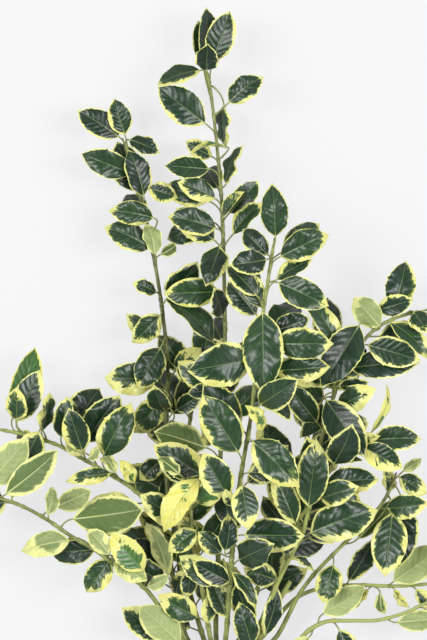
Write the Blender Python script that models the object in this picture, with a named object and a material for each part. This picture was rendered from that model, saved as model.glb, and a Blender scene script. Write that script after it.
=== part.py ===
"""A tied bunch of cut variegated holly, lying on a flat surface.

Lengths in the tables are millimetres: X runs across the bunch, Y from the tie towards the
tips of the stems, and Z up from the surface. The objects themselves are in metres.
"""

import itertools
import math

import bmesh
import bpy
from mathutils import Quaternion, Vector
from mathutils.bvhtree import BVHTree
from mathutils.geometry import convex_hull_2d

MM = 0.001
UP = Vector((0.0, 0.0, 1.0))

# The tie, and the places that it gives the stems.
STEM_PITCH = 6.0  # from stem to stem, side by side in the tie
STEM_ROW = 5.2  # from one row of stems up to the next
STEM_BUTT = 2.7  # radius of a stem where it is tied
FIRST_ROW = 4.9  # height of the lowest stems' middles
BAND_THICK = 1.6
BAND_WIDTH = 12.0
STRAIGHT = (-16.0, -8.0, 8.0, 16.0)  # stretch that the tie holds straight
CUT_END = -72.0  # how far the longest cut ends reach below the tie
CUT_SPREAD = 9.0  # by which the cut ends differ in length
CUT_HEIGHT = 4.6  # of the middles of the lowest cut ends
FLARE = 1.5  # how far the cut ends spread sideways, as a share of their places in the tie
CUT_LIFT = 1.2  # and upwards
GAP = 0.3  # left between pieces that touch
SURFACE = 0.3  # height of the surface under the bunch

# The leaves.
STEM_STEP = 26.0  # length of a facet along a stem
FACET_PARTS = 4  # places along a facet where a leaf may start
PETIOLE = 1.0  # half the width of a leaf stalk
PETIOLE_THICK = 0.9  # its thickness, as a share of its width
LONGEST_PETIOLE = 17.0
ROOT = 0.2  # where a joined stalk starts, out from the stem's middle, as a share of its radius
BACK_OFF = (0.6, 7.0)  # how far down the stem a stalk starts: share of its length, and most
BLADE_WIDTH = 0.54  # of a blade's length
BLADE_HALF = 0.75  # half its thickness at the midrib, by the stalk
TIP_THINNER = 0.55  # share of the thickness that is gone at the point
TIP_HALF = 0.7  # half the width of the point
OWN_STATIONS = (0.0, 0.17, 0.45, 0.76, 1.0)  # sections of a blade that is its own piece
JOINED_STATIONS = (0.0, 0.24, 0.66, 1.0)  # and of one that is joined to its stem
ARCH = (0.03, 0.11)  # rise of the midrib's middle, as a share of its length
FOLD = (8.0, 24.0)  # degrees that each half blade is folded up from flat
HANGS_BACK = -0.3  # cosine between a leaf and its stem, past which the leaf hangs back
SHARPEST = 0.05  # cosine of the sharpest bend along a stalk
CLEAR = 0.9  # room kept all round a leaf, out from its own skin
STEM_ROOM = 0.5  # by which the four-sided stand-in for a stem is larger than the stem
MOST_TRIALS = 1200  # poses tried before a leaf is left out
GOLDEN = 0.618034

# The further leaves round the stems.
SPIRAL = 144.0  # degrees from one leaf to the next
FILL_FOOT = (9.0, 7.0)  # from the stem to the blade's foot: outwards, and along the stem
FILL_HEADING = (0.78, 0.62)  # of the blade: outwards, and along the stem
FILL_LENGTH = (0.82, 1.14)  # shortest and longest, as a share of the stretch's leaf length
FILL_ROLL = (-25.0, 25.0)
FILL_FOLD = 15.0
LOWEST_FOOT = 3.0
LOWEST_POINT = 2.0

# Each sprig: its place in the tie (column, row), its route above the tie (x, y, z), the radius
# of its tip, how many of its leaves are pieces of their own, and its leaves. A leaf is
# (x, y of the blade's foot, height over the stem, x, y of its point, rise from foot to point,
# roll about its midrib in degrees, width as a share of length if it isn't the usual one).
# "fill" is (first, last) distance from the tie of a stretch with further leaves round the
# stem, their number, and their length.
SPRIGS = {
    "centre_tall": {
        "seat": (-0.5, 1),
        "route": ((-6, 60, 25), (-4, 130, 42), (-3, 200, 55), (0, 280, 62), (3, 355, 62),
                  (2, 430, 58), (-1, 510, 52), (-5, 555, 48), (-10, 600, 45), (-14, 628, 43)),
        "tip": 1.5,
        "apart": 7,
        "leaves": (
            (-8, 645, 4, 8, 692, 4, 0), (-19, 646, 2, -16, 696, 0, 45),
            (-17, 578, 5, -65, 614, 6, 0), (-13, 532, 4, -58, 535, 4, 0),
            (-3, 408, 5, -59, 408, 4, 0), (-6, 472, 7, -54, 484, 6, 15),
            (-22, 632, 2, -66, 618, 4, 40), (8, 599, 4, 39, 628, 4, -15),
            (-25, 222, 12, -69, 255, 10, 10),
            (-15, 631, 14, -17, 654, 34, 0), (4, 554, 9, -32, 549, 8, 72),
            (-22, 648, -5, -24, 683, 0, 20),
            (2, 597, -4, 6, 552, -6, 50), (4, 517, 4, 18, 557, 4, -50),
            (-7, 502, 6, -44, 520, 6, 20), (-2, 454, 10, -14, 417, 26, 0),
            (-9, 358, 4, -57, 403, 6, 42), (1, 483, 4, 23, 509, 8, -50),
            (11, 466, 3, 42, 499, 6, -40), (-17, 252, 10, -69, 268, 6, 165, 0.56),
            (-17, 216, 6, -50, 184, 0, 30, 0.42), (-4, 310, 6, -35, 307, 4, 10),
            (-10, 545, -6, -38, 559, -6, 0), (-14, 500, -8, -59, 515, -8, 0),
            (-14, 478, -8, -57, 462, -8, 0),
        ),
        "fill": (130, 520, 13, 48),
    },
    "left_tall": {
        "seat": (-2, 0),
        "route": ((-37, 60, 16), (-44, 140, 30), (-55, 210, 38), (-56, 275, 41),
                  (-55, 340, 42), (-59, 380, 42), (-70, 450, 41), (-88, 525, 38),
                  (-100, 562, 37)),
        "tip": 1.5,
        "apart": 5,
        "leaves": (
            (-104, 565, 4, -145, 593, 4, 10), (-98, 567, 6, -109, 603, 6, 0, 0.6),
            (-92, 528, 6, -142, 548, 4, 0), (-69, 483, 8, -113, 494, 4, 5),
            (-72, 453, 5, -118, 475, 4, 15), (-62, 352, 7, -86, 312, 10, 0, 0.6),
            (-94, 562, 4, -62, 550, 4, -30), (-79, 505, 6, -92, 552, 8, 30),
            (-74, 513, 3, -44, 505, 8, 0, 0.6), (-62, 446, 6, -45, 455, 16, 165, 0.5),
            (-67, 446, 4, -76, 478, 10, 150), (-66, 408, 4, -90, 416, 10, 30),
            (-62, 385, 6, -90, 357, 6, -10, 0.6), (-66, 318, 2, -118, 326, 4, 0, 0.6),
            (-46, 332, 3, -16, 318, 6, -10, 0.7), (-46, 289, 3, -20, 306, 4, 0, 0.65),
            (-58, 300, -2, -92, 268, -4, 0, 0.6), (-50, 288, 8, -70, 312, 8, 65),
            (-62, 238, 3, -84, 220, 2, 0, 0.7), (-87, 510, -6, -108, 561, -6, 0),
        ),
        "fill": (120, 480, 8, 44),
    },
    "centre_front": {
        "seat": (0, 2),
        "route": ((5, 71, 44), (9, 133, 74), (17, 214, 100), (29, 287, 112), (36, 350, 115),
                  (45, 415, 108), (52, 460, 100)),
        "tip": 1.5,
        "apart": 8,
        "leaves": (
            (40, 388, 12, 41, 308, 14, 0, 0.46), (53, 463, 6, 51, 515, 8, 0),
            (30, 260, 12, 79, 219, 12, 0), (16, 249, 12, -20, 306, 10, 0),
            (20, 216, 12, 26, 172, 12, 0, 0.6), (22, 166, 9, 82, 167, 10, 0),
            (30, 340, 6, -31, 333, 22, 0, 0.62), (6, 204, 8, -20, 248, 8, 0, 0.62),
            (56, 356, 8, 110, 358, 10, 0, 0.55),
            (58, 443, 6, 106, 464, 6, -10), (56, 417, 8, 106, 395, 10, 0),
            (54, 420, 2, 90, 440, 6, -40), (44, 440, 8, 10, 432, 22, 0, 0.6),
            (41, 307, 5, 68, 280, 12, -45), (40, 270, 10, 27, 297, 10, 45),
            (10, 128, 6, 38, 94, 8, -30, 0.36), (-1, 147, 6, -24, 169, 6, 0, 0.6),
            (3, 150, 4, 10, 186, 8, 20, 0.55), (8, 117, 5, -30, 138, 5, 0),
            (5, 80, 6, -14, 122, 6, 25), (25, 228, 3, 62, 230, 2, -10),
            (18, 152, 2, 44, 146, 2, 0), (60, 448, -6, 100, 475, -6, 0),
            (40, 392, -4, 18, 428, -4, 20), (34, 385, -8, 6, 420, -8, 0),
            (46, 445, -8, 18, 470, -8, 0), (50, 368, -6, 88, 382, -6, 0),
            (52, 330, 0, 108, 332, 0, 0, 0.5),
        ),
        "fill": (90, 420, 11, 52),
    },
    "left_front": {
        "seat": (-1, 2),
        "route": ((-47, 65, 40), (-62, 90, 52), (-77, 110, 62), (-102, 130, 72),
                  (-127, 150, 80), (-152, 165, 84), (-177, 182, 85), (-202, 195, 83),
                  (-222, 202, 80), (-240, 209, 77)),
        "tip": 1.6,
        "apart": 5,
        "leaves": (
            (-148, 184, 8, -77, 192, 8, 172, 0.58), (-152, 160, 5, -201, 153, 0, 176, 0.52),
            (-112, 140, -5, -137, 106, -6, 0, 0.6), (-76, 132, 13, -111, 168, 8, 0, 0.56),
            (-216, 206, 8, -162, 250, 6, 165, 0.44), (-56, 58, 4, -100, 92, 6, 0, 0.52),
            (-108, 143, 3, -74, 120, 0, 176, 0.55), (-166, 194, 2, -130, 210, 0, 170, 0.62),
            (-173, 186, 12, -169, 216, 20, 150, 0.5), (-127, 150, -8, -175, 146, -8, 0),
            (-236, 214, 4, -194, 263, -8, 172, 0.5), (-112, 146, 4, -134, 172, 2, 172, 0.6),
            (-42, 54, 10, -84, 94, 10, 176, 0.5), (-75, 112, 8, -52, 122, 4, 160, 0.6),
            (-244, 212, 2, -272, 232, -6, 170), (-238, 205, 2, -262, 184, -6, 0, 0.55),
            (-210, 202, 2, -205, 236, 0, 150, 0.4),
        ),
        "fill": (60, 200, 3, 44),
    },
    "left_middle": {
        "seat": (-1.5, 1),
        "route": ((-40, 60, 24), (-48, 110, 34), (-55, 150, 44), (-68, 188, 50),
                  (-90, 210, 52), (-117, 227, 52), (-140, 240, 50), (-166, 254, 47),
                  (-194, 263, 44), (-232, 271, 42)),
        "tip": 1.6,
        "apart": 4,
        "leaves": (
            (-119, 243, 10, -94, 297, 10, 0, 0.56), (-162, 262, 8, -155, 303, 10, 0, 0.5),
            (-137, 257, 5, -106, 307, 4, 0), (-184, 268, 12, -204, 224, 24, 0, 0.5),
            (-207, 277, -1, -184, 330, -2, 0, 0.5), (-150, 272, -4, -124, 313, -6, 0, 0.62),
            (-212, 280, -6, -189, 353, -8, 0, 0.42), (-207, 283, 13, -203, 312, 14, 0, 0.6),
            (-112, 226, 10, -154, 219, 20, 10, 0.36), (-152, 257, 2, -150, 302, 0, 60, 0.36),
            (-182, 268, 2, -174, 308, 2, 45), (-137, 246, 10, -158, 256, 12, 165, 0.62),
            (-134, 240, 12, -121, 252, 12, 160), (-107, 226, 10, -120, 246, 16, 150, 0.5),
            (-88, 216, 8, -101, 240, 8, 20), (-62, 188, 8, -76, 204, 10, 40),
            (-54, 122, 10, -74, 182, 20, 155, 0.32), (-58, 168, 4, -82, 188, 6, 0, 0.6),
            (-236, 274, 2, -266, 294, -4, 170),
        ),
        "fill": (90, 262, 8, 46),
    },
    "centre_low": {
        "seat": (-0.5, 3),
        "route": ((-12, 60, 38), (-20, 110, 58), (-28, 150, 74), (-32, 200, 84),
                  (-34, 225, 86)),
        "tip": 1.7,
        "apart": 1,
        "leaves": (
            (-26, 170, 6, -54, 150, 6, 0, 0.62), (-32, 130, -6, -33, 100, -6, 0, 0.55),
            (-36, 128, -9, -50, 96, -6, 45), (-14, 74, 3, -14, 106, 3, 20, 0.5),
            (-42, 226, 3, -64, 244, 3, 150), (-23, 222, 10, -60, 170, 5, 25, 0.46),
        ),
        "fill": (60, 215, 8, 48),
    },
    "right_high": {
        "seat": (0.5, 1),
        "route": ((38, 70, 19), (54, 110, 30), (70, 150, 44), (90, 220, 60), (105, 280, 70),
                  (118, 320, 73), (135, 350, 73), (155, 372, 70), (180, 384, 66),
                  (206, 390, 61)),
        "tip": 1.5,
        "apart": 4,
        "leaves": (
            (134, 378, 10, 100, 313, 14, 0, 0.5), (104, 300, 12, 143, 243, 14, 0, 0.52),
            (146, 355, 4, 199, 340, 6, 0, 0.54), (158, 373, 6, 131, 403, 12, 170, 0.62),
            (156, 390, 4, 192, 400, 6, 0, 0.6), (168, 378, 8, 205, 338, 8, -35, 0.45),
            (120, 350, 6, 81, 405, 2, 25, 0.36), (128, 332, 0, 199, 336, -2, -15, 0.42),
            (192, 388, 6, 206, 368, 18, 0, 0.7), (110, 318, 2, 65, 305, 4, 30, 0.4),
            (116, 314, 2, 147, 317, 2, 30, 0.5), (100, 298, -4, 80, 260, -6, -30, 0.45),
            (212, 394, 3, 240, 412, 2, 0, 0.55), (210, 386, 0, 243, 376, -4, 10, 0.5),
        ),
        "fill": (150, 385, 11, 50),
    },
    "right_middle": {
        "seat": (0.5, 3),
        "route": ((34, 60, 38), (46, 90, 48), (58, 120, 58), (70, 145, 68), (80, 165, 76),
                  (88, 195, 84), (100, 222, 88), (120, 242, 86), (145, 252, 83),
                  (165, 257, 80)),
        "tip": 1.5,
        "apart": 5,
        "leaves": (
            (86, 194, 10, 95, 262, 12, 0, 0.46), (88, 167, 6, 153, 195, 8, -10, 0.52),
            (140, 254, 10, 180, 232, 10, 0, 0.56), (104, 217, 4, 156, 225, 4, -10, 0.52),
            (150, 260, 4, 199, 263, 4, -10, 0.55), (30, 52, 10, 18, 96, 12, 0, 0.52),
            (73, 176, 4, 50, 228, 4, 15, 0.46), (56, 118, -4, 21, 130, -4, 0, 0.62),
            (43, 62, 4, 60, 110, 4, 20, 0.34), (112, 238, 6, 140, 245, 10, -60, 0.4),
            (78, 180, -4, 70, 230, -6, 0), (128, 264, 2, 158, 262, 10, 30, 0.4),
            (150, 268, -6, 170, 315, -6, 50, 0.22),
        ),
        "fill": (60, 250, 9, 52),
    },
    "right_dark": {
        "seat": (1.5, 1),
        "route": ((56, 60, 28), (69, 85, 36), (78, 103, 42), (90, 120, 46), (108, 140, 52),
                  (133, 165, 57), (150, 182, 58), (165, 202, 57), (175, 225, 55)),
        "tip": 1.4,
        "apart": 3,
        "leaves": (
            (171, 186, 8, 164, 123, 14, 0, 0.54), (136, 160, 5, 172, 199, 8, 130, 0.34),
            (188, 192, 4, 181, 130, 6, 0, 0.5), (112, 134, 6, 103, 95, 8, 0, 0.66),
            (168, 206, -6, 168, 232, -6, 20, 0.6), (178, 222, 2, 207, 207, 4, 0, 0.6),
            (92, 128, 5, 72, 144, 6, 50, 0.36), (182, 228, 0, 200, 242, 2, 160, 0.45),
        ),
        "fill": (130, 230, 3, 44),
    },
    "right_low": {
        "seat": (1, 0),
        "route": ((43, 60, 14), (61, 84, 20), (80, 101, 26), (108, 110, 31),
                  (140, 112, 35), (173, 111, 37), (205, 113, 38), (224, 116, 38)),
        "tip": 1.5,
        "apart": 1,
        "leaves": (
            (173, 116, 8, 222, 154, 10, 172, 0.48), (128, 116, 4, 153, 159, 4, 20, 0.42),
            (148, 108, 3, 133, 88, 4, 40), (160, 104, 4, 163, 82, 6, 150, 0.5),
            (174, 108, 6, 188, 90, 8, 50, 0.45), (228, 120, 2, 262, 134, 0, 170),
            (227, 113, 0, 258, 104, -4, 0), (196, 108, 2, 214, 88, 2, 0, 0.5),
        ),
        "fill": (100, 220, 3, 40),
    },
    "right_lowest": {
        "seat": (2, 0),
        "route": ((74, 52, 31), (90, 68, 39), (103, 75, 44), (130, 77, 50), (158, 78, 54),
                  (180, 84, 55), (205, 95, 54), (228, 105, 52)),
        "tip": 1.4,
        "apart": 2,
        "leaves": (
            (102, 84, 6, 146, 111, 8, 172, 0.44), (176, 76, 4, 220, 80, 2, 174, 0.5),
            (88, 60, 6, 60, 36, -8, 165, 0.38), (84, 58, 2, 92, 24, -8, 170, 0.45),
            (118, 68, 2, 136, 34, -6, 0, 0.5), (232, 108, 2, 262, 112, 0, 172, 0.5),
            (206, 88, 2, 232, 66, -6, 0, 0.5),
        ),
        "fill": (100, 200, 2, 38),
    },
    "left_back": {
        "seat": (-1, 0),
        "route": ((-20, 60, 8), (-34, 110, 13), (-44, 165, 16), (-40, 230, 18),
                  (-30, 290, 18), (-22, 330, 17)),
        "tip": 1.6,
        "apart": 0,
        "leaves": ((-50, 160, 2, -112, 150, -16, 0), (-48, 200, 2, -100, 232, -16, 0),
                   (-36, 285, 2, -72, 330, -16, 0), (-20, 335, 2, -10, 384, -16, 0)),
        "fill": (60, 325, 11, 52),
    },
    "right_back": {
        "seat": (0, 0),
        "route": ((20, 60, 8), (44, 130, 14), (66, 190, 18), (84, 250, 20), (98, 310, 20),
                  (110, 350, 19)),
        "tip": 1.6,
        "apart": 0,
        "leaves": ((72, 200, 2, 128, 200, -18, 0), (90, 255, 2, 150, 276, -20, 0),
                   (104, 320, 2, 152, 348, -20, 0), (108, 354, 0, 106, 404, -18, 0),
                   (48, 150, 2, 108, 156, -14, 0), (92, 300, 2, 44, 340, -18, 0)),
        "fill": (60, 345, 11, 54),
    },
    "cut_stub": {
        "seat": (1, 2),
        "route": ((38, 60, 32), (54, 90, 36), (69, 116, 39)),
        "tip": 2.6,
        "apart": 0,
        "leaves": (),
        "fill": (0, 0, 0, 0),
    },
}


# ---- small helpers -------------------------------------------------------------------------

def share(*numbers):
    """An even-handed value from 0 to 1 that depends only on the whole numbers given."""
    total = sum(number * GOLDEN * (place + 1.37) for place, number in enumerate(numbers))
    return total % 1.0


def between(limits, part):
    return limits[0] + (limits[1] - limits[0]) * part


def smooth(route, step):
    """Points about STEP apart on one smooth curve through the route."""
    knots = [Vector(point) for point in route]
    spans = [(b - a).length for a, b in zip(knots, knots[1:])]
    grades = [(b - a) / span for a, b, span in zip(knots, knots[1:], spans)]
    slopes = [grades[0]]
    for index in range(1, len(grades)):
        near, far = spans[index - 1], spans[index]
        slopes.append((grades[index - 1] * far + grades[index] * near) / (near + far))
    slopes.append(grades[-1])
    points = []
    for index, span in enumerate(spans):
        count = max(1, round(span / step))
        for number in range(count):
            t = number / count
            points.append(
                knots[index] * (2 * t**3 - 3 * t**2 + 1)
                + slopes[index] * span * (t**3 - 2 * t**2 + t)
                + knots[index + 1] * (3 * t**2 - 2 * t**3)
                + slopes[index + 1] * span * (t**3 - t**2)
            )
    points.append(knots[-1])
    return points


def stem_route(sprig):
    """A stem's own points: its cut end, the straight stretch in the tie, and its route."""
    column, row = sprig["seat"]
    x, z = column * STEM_PITCH, FIRST_ROW + row * STEM_ROW
    cut = (x * FLARE, CUT_END + CUT_SPREAD * share(column * 2, row),
           CUT_HEIGHT + (z - FIRST_ROW) * CUT_LIFT)
    return [cut] + [(x, y, z) for y in STRAIGHT] + list(sprig["route"])


def stem_line(sprig):
    """(point, radius) along a stem, from its cut end to its tip."""
    points = smooth(stem_route(sprig), STEM_STEP)
    last = len(points) - 1
    tie = next(index for index, point in enumerate(points) if point.y >= STRAIGHT[-1])
    line = []
    for index, point in enumerate(points):
        along = max(0, index - tie) / (last - tie)
        line.append((point, between((STEM_BUTT, sprig["tip"]), along)))
    return line


def finer(line):
    """Places along the facets of the same line, off its corners, for the leaves to start from."""
    found = []
    for (start, thick), (end, thin) in zip(line, line[1:]):
        for part in range(FACET_PARTS):
            t = (part + 0.5) / FACET_PARTS
            found.append((start.lerp(end, t), thick + (thin - thick) * t))
    return found


# ---- leaves --------------------------------------------------------------------------------

def spread(t):
    """Half width of a blade at T along it, as a share of its widest half width."""
    return math.sin(math.pi * t**0.9) ** 0.6 if 0 < t < 1 else 0.0


def run_at(line, index):
    """The direction in which a stem runs at one of its places."""
    ahead = min(index + 1, len(line) - 1)
    return (line[ahead][0] - line[index - 1][0]).normalized()


def petiole_start(line, foot, along, slide):
    """Where the stalk of a leaf leaves the stem: the stem's middle there, radius and run.

    It lies down the stem from the blade's foot, or up the stem under a leaf that hangs back.
    """
    last = len(line) - 1
    near = min(range(1, last + 1), key=lambda index: (line[index][0] - foot).length)
    back = min(BACK_OFF[0] * (line[near][0] - foot).length, BACK_OFF[1]) + slide
    hangs_back = along.dot(run_at(line, near)) < HANGS_BACK
    step, end = (1, last) if hangs_back else (-1, 1)
    index = near
    while index != end and (line[near][0] - line[index][0]).length < back:
        index += step
    return line[index][0], line[index][1], run_at(line, index)


def ring(middle, side, up, half_width, half_thick, lift=0.0):
    """Four points round a leaf: one edge, the upper side, the other edge, the under side."""
    edge = side * half_width
    return [middle - edge + up * lift, middle + up * half_thick,
            middle + edge + up * lift, middle - up * half_thick]


def leaf_rings(line, leaf, sunk, swell=0.0):
    """The sections of one leaf, from the start of its stalk to its point."""
    foot, point, roll, width, arch, fold, slide = leaf
    along = (point - foot).normalized()
    side = UP.cross(along).normalized()
    turn = Quaternion(along, math.radians(roll))
    side = turn @ side
    up = along.cross(side)
    middle, radius, grain = petiole_start(line, foot, along, slide)
    out = foot - middle
    out = (out - grain * out.dot(grain)).normalized()
    start = middle + out * (radius * ROOT if sunk else radius + GAP)
    bend = foot - along * 0.5 * (foot - start).length
    if not sunk:
        tilt = math.sqrt(1.0 - min(1.0, (bend - start).normalized().dot(out) ** 2))
        start += out * PETIOLE * tilt
    rings = []
    heading, across, over = along, side, up
    for t, towards in ((0.5, foot - start), (0.0, bend - start)):
        place = start * (1 - t) ** 2 + bend * 2 * t * (1 - t) + foot * t**2
        swing = heading.rotation_difference(towards)
        heading, across, over = towards, swing @ across, swing @ over
        thick = PETIOLE * PETIOLE_THICK + swell
        rings.insert(0, ring(place, across, over, PETIOLE + swell, thick))
    length = (point - foot).length
    lean = math.radians(fold)
    for t in JOINED_STATIONS if sunk else OWN_STATIONS:
        least = TIP_HALF if t > 0.5 else PETIOLE
        half = max(spread(t) * width * length / 2, least) + swell
        rise = up * (arch * length * 4 * t * (1 - t))
        place = foot + along * (length * t) + rise
        place.z = max(place.z, SURFACE + BLADE_HALF)
        thick = BLADE_HALF * (1.0 - TIP_THINNER * t) + swell
        section = ring(place, side, up, half * math.cos(lean), thick, half * math.sin(lean))
        for corner in section:
            corner.z = max(corner.z, SURFACE - swell)
        rings.append(section)
    return rings


def loft(rings):
    """Points and faces of a closed body through rings of four points each."""
    points = [corner for section in rings for corner in section]
    faces = [(3, 2, 1, 0)]
    for first in range(0, len(points) - 4, 4):
        for corner in range(4):
            after = (corner + 1) % 4
            faces.append((first + corner, first + after, first + 4 + after, first + 4 + corner))
    last = len(points) - 4
    faces.append((last, last + 1, last + 2, last + 3))
    return points, faces


def tree(rings):
    points, faces = loft(rings)
    return BVHTree.FromPolygons(points, faces)


def runs_clear_of_itself(rings):
    """Whether a leaf has no sharp fold in its stalk and no two faces that cross."""
    middles = [(section[0] + section[2]) / 2 for section in rings]
    runs = [(after - middle).normalized() for middle, after in zip(middles, middles[1:])]
    if any(one.dot(two) < SHARPEST for one, two in zip(runs, runs[1:])):
        return False
    body, faces = tree(rings), loft(rings)[1]
    return not any(set(faces[one]).isdisjoint(faces[two]) for one, two in body.overlap(body))


def stem_sections(line, room):
    """Four-sided sections along a stem, ROOM larger than it."""
    return [ring(middle, Vector((1, 0, 0)), UP, radius + room, radius + room)
            for middle, radius in line]


def box_of(rings):
    points = [corner for section in rings for corner in section]
    low = [min(point[axis] for point in points) for axis in range(3)]
    high = [max(point[axis] for point in points) for axis in range(3)]
    return low, high


def boxes_meet(one, two):
    return all(one[0][axis] < two[1][axis] and two[0][axis] < one[1][axis] for axis in range(3))


def trials():
    """Small changes to a leaf's pose, the least first.

    They are the foot's lift, the point's rise, the heading, the roll, and how much further
    down the stem the stalk starts.
    """
    choices = ((0, 3, -3, 6, -6, 10, -10, 15, -15), (0, 5, -5, 10, -10, 17, -17, 25, -25),
               (0, 6, -6, 13, -13, 22, -22), (0, 14, -14, 28, -28), (0, 6, 12))
    costs = (4, 7, 7, 14, 6)
    found = []
    for change in itertools.product(*choices):
        found.append((sum(abs(part) / cost for part, cost in zip(change, costs)), change))
    found.sort(key=lambda trial: trial[0])
    return [change for _, change in found[:MOST_TRIALS]]


class Bunch:
    """The stems and the leaves laid so far, for finding room for the next leaf."""

    def __init__(self):
        self.lines = {}
        self.laid = []
        self.stems = {}
        for name, sprig in SPRIGS.items():
            line = stem_line(sprig)
            self.lines[name] = finer(line)
            roomy = stem_sections(line, STEM_ROOM)
            self.stems[name] = (box_of(roomy), tree(roomy), tree(stem_sections(line, 0.0)))
        self.trials = trials()

    def is_free(self, name, rings, exact, sunk):
        box = box_of(rings)
        if box[0][2] < SURFACE - CLEAR - 0.01:
            return False
        body = tree(rings)
        for other, (stem_box, stem_tree, _) in self.stems.items():
            if other != name and boxes_meet(box, stem_box) and body.overlap(stem_tree):
                return False
        for laid_box, laid_tree in self.laid:
            if boxes_meet(box, laid_box) and body.overlap(laid_tree):
                return False
        own = self.stems[name][2]
        if tree(rings[3:]).overlap(own) or not (sunk or not tree(exact).overlap(own)):
            return False
        return runs_clear_of_itself(exact)

    def lay(self, name, leaf, sunk):
        """Finds room near the wanted pose, and gives the leaf as laid, or None."""
        foot, point, roll, width, arch, fold, _ = leaf
        line = self.lines[name]
        for lift, rise, heading, more_roll, slide in self.trials:
            low = foot + UP * lift
            reach = Quaternion(UP, math.radians(heading)) @ (point - foot)
            high = low + reach + UP * rise
            tried = (low, high, roll + more_roll, width, arch, fold, slide)
            rings = leaf_rings(line, tried, sunk, CLEAR)
            exact = leaf_rings(line, tried, sunk)
            if self.is_free(name, rings, exact, sunk):
                self.laid.append((box_of(exact), tree(exact)))
                return tried
        return None


def wanted(line, row, seed):
    """A leaf of the table as (foot, point, roll, width, arch, fold, slide)."""
    foot_x, foot_y, over, point_x, point_y, rise, roll = row[:7]
    near = min(line, key=lambda place: math.hypot(place[0].x - foot_x, place[0].y - foot_y))
    foot = Vector((foot_x, foot_y, near[0].z + over))
    reach = foot - near[0]
    if reach.length > LONGEST_PETIOLE:
        foot = near[0] + reach * (LONGEST_PETIOLE / reach.length)
    point = Vector((point_x, point_y, near[0].z + over + rise))
    width = row[7] if len(row) > 7 else BLADE_WIDTH
    arch, fold = between(ARCH, share(seed, 3)), between(FOLD, share(seed, 5))
    return foot, point, roll, width, arch, fold, 0


def filler(line, fill, number, seed):
    """A leaf of the spiral round a stem, for the stretches that the table leaves bare."""
    first, last, count, length = fill
    place = between((first, last), (number + share(seed, 7)) / count)
    index = min(range(1, len(line)), key=lambda i: abs(line[i][0].y - place))
    middle = line[index][0]
    grain = (middle - line[index - 1][0]).normalized()
    out = Quaternion(grain, math.radians(SPIRAL * number)) @ UP.cross(grain).normalized()
    foot = middle + out * FILL_FOOT[0] + grain * FILL_FOOT[1]
    heading = (out * FILL_HEADING[0] + grain * FILL_HEADING[1]).normalized()
    point = foot + heading * length * between(FILL_LENGTH, share(seed, 11))
    foot.z = max(foot.z, LOWEST_FOOT)
    point.z = max(point.z, LOWEST_POINT)
    roll = between(FILL_ROLL, share(seed, 13))
    return foot, point, roll, BLADE_WIDTH, between(ARCH, share(seed, 3)), FILL_FOLD, 0


def lay_all():
    """Every leaf of the bunch: (sprig, leaf number, leaf as laid, whether its own piece)."""
    bunch = Bunch()
    found = []
    for own in (True, False):
        for order, (name, sprig) in enumerate(SPRIGS.items()):
            for number, row in enumerate(sprig["leaves"]):
                if (number < sprig["apart"]) != own:
                    continue
                seed = 40 * order + number
                leaf = bunch.lay(name, wanted(bunch.lines[name], row, seed), not own)
                if leaf:
                    found.append((name, number, leaf, own))
    for order, (name, sprig) in enumerate(SPRIGS.items()):
        for extra in range(sprig["fill"][2]):
            seed = 40 * order + len(sprig["leaves"]) + extra
            leaf = filler(bunch.lines[name], sprig["fill"], extra, seed)
            leaf = bunch.lay(name, leaf, True)
            if leaf:
                found.append((name, len(sprig["leaves"]) + extra, leaf, False))
    return bunch, found


# ---- objects -------------------------------------------------------------------------------

def material(name, colour, roughness):
    found = bpy.data.materials.new(name)
    found.use_nodes = True
    shader = found.node_tree.nodes["Principled BSDF"]
    shader.inputs["Base Color"].default_value = (*colour, 1.0)
    shader.inputs["Roughness"].default_value = roughness
    shader.inputs["Metallic"].default_value = 0.0
    return found


def collection(name):
    found = bpy.data.collections.new(name)
    bpy.context.scene.collection.children.link(found)
    return found


def mesh_object(name, bodies, group, finish):
    """An object of one or more closed bodies, each given as its rings."""
    mesh = bpy.data.meshes.new(name)
    builder = bmesh.new()
    for rings in bodies:
        points, faces = loft(rings)
        corners = [builder.verts.new(point * MM) for point in points]
        for face in faces:
            builder.faces.new([corners[index] for index in face])
    bmesh.ops.triangulate(builder, faces=builder.faces)
    bmesh.ops.recalc_face_normals(builder, faces=builder.faces)
    builder.to_mesh(mesh)
    builder.free()
    mesh.materials.append(finish)
    found = bpy.data.objects.new(name, mesh)
    group.objects.link(found)
    return found


def stem(name, sprig, group, finish):
    """A stem: a bevelled curve, made a mesh so that leaves can be joined to it."""
    curve = bpy.data.curves.new(name, "CURVE")
    curve.dimensions = "3D"
    curve.bevel_depth = MM
    curve.bevel_resolution = 1
    curve.use_fill_caps = True
    line = stem_line(sprig)
    spline = curve.splines.new("POLY")
    spline.points.add(len(line) - 1)
    for place, (point, radius) in zip(spline.points, line):
        place.co = (*(point * MM), 1.0)
        place.radius = radius
    bent = bpy.data.objects.new(name + "_route", curve)
    group.objects.link(bent)
    mesh = evaluated_mesh(bent)
    bpy.data.objects.remove(bent)
    builder = bmesh.new()
    builder.from_mesh(mesh)
    bmesh.ops.remove_doubles(builder, verts=builder.verts, dist=0.00001)
    bmesh.ops.recalc_face_normals(builder, faces=builder.faces)
    builder.to_mesh(mesh)
    builder.free()
    mesh.materials.clear()
    mesh.materials.append(finish)
    mesh.shade_smooth()
    mesh.name = name
    found = bpy.data.objects.new(name, mesh)
    group.objects.link(found)
    return found


def evaluated_mesh(source):
    bpy.context.view_layer.update()
    graph = bpy.context.evaluated_depsgraph_get()
    return bpy.data.meshes.new_from_object(source.evaluated_get(graph))


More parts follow.
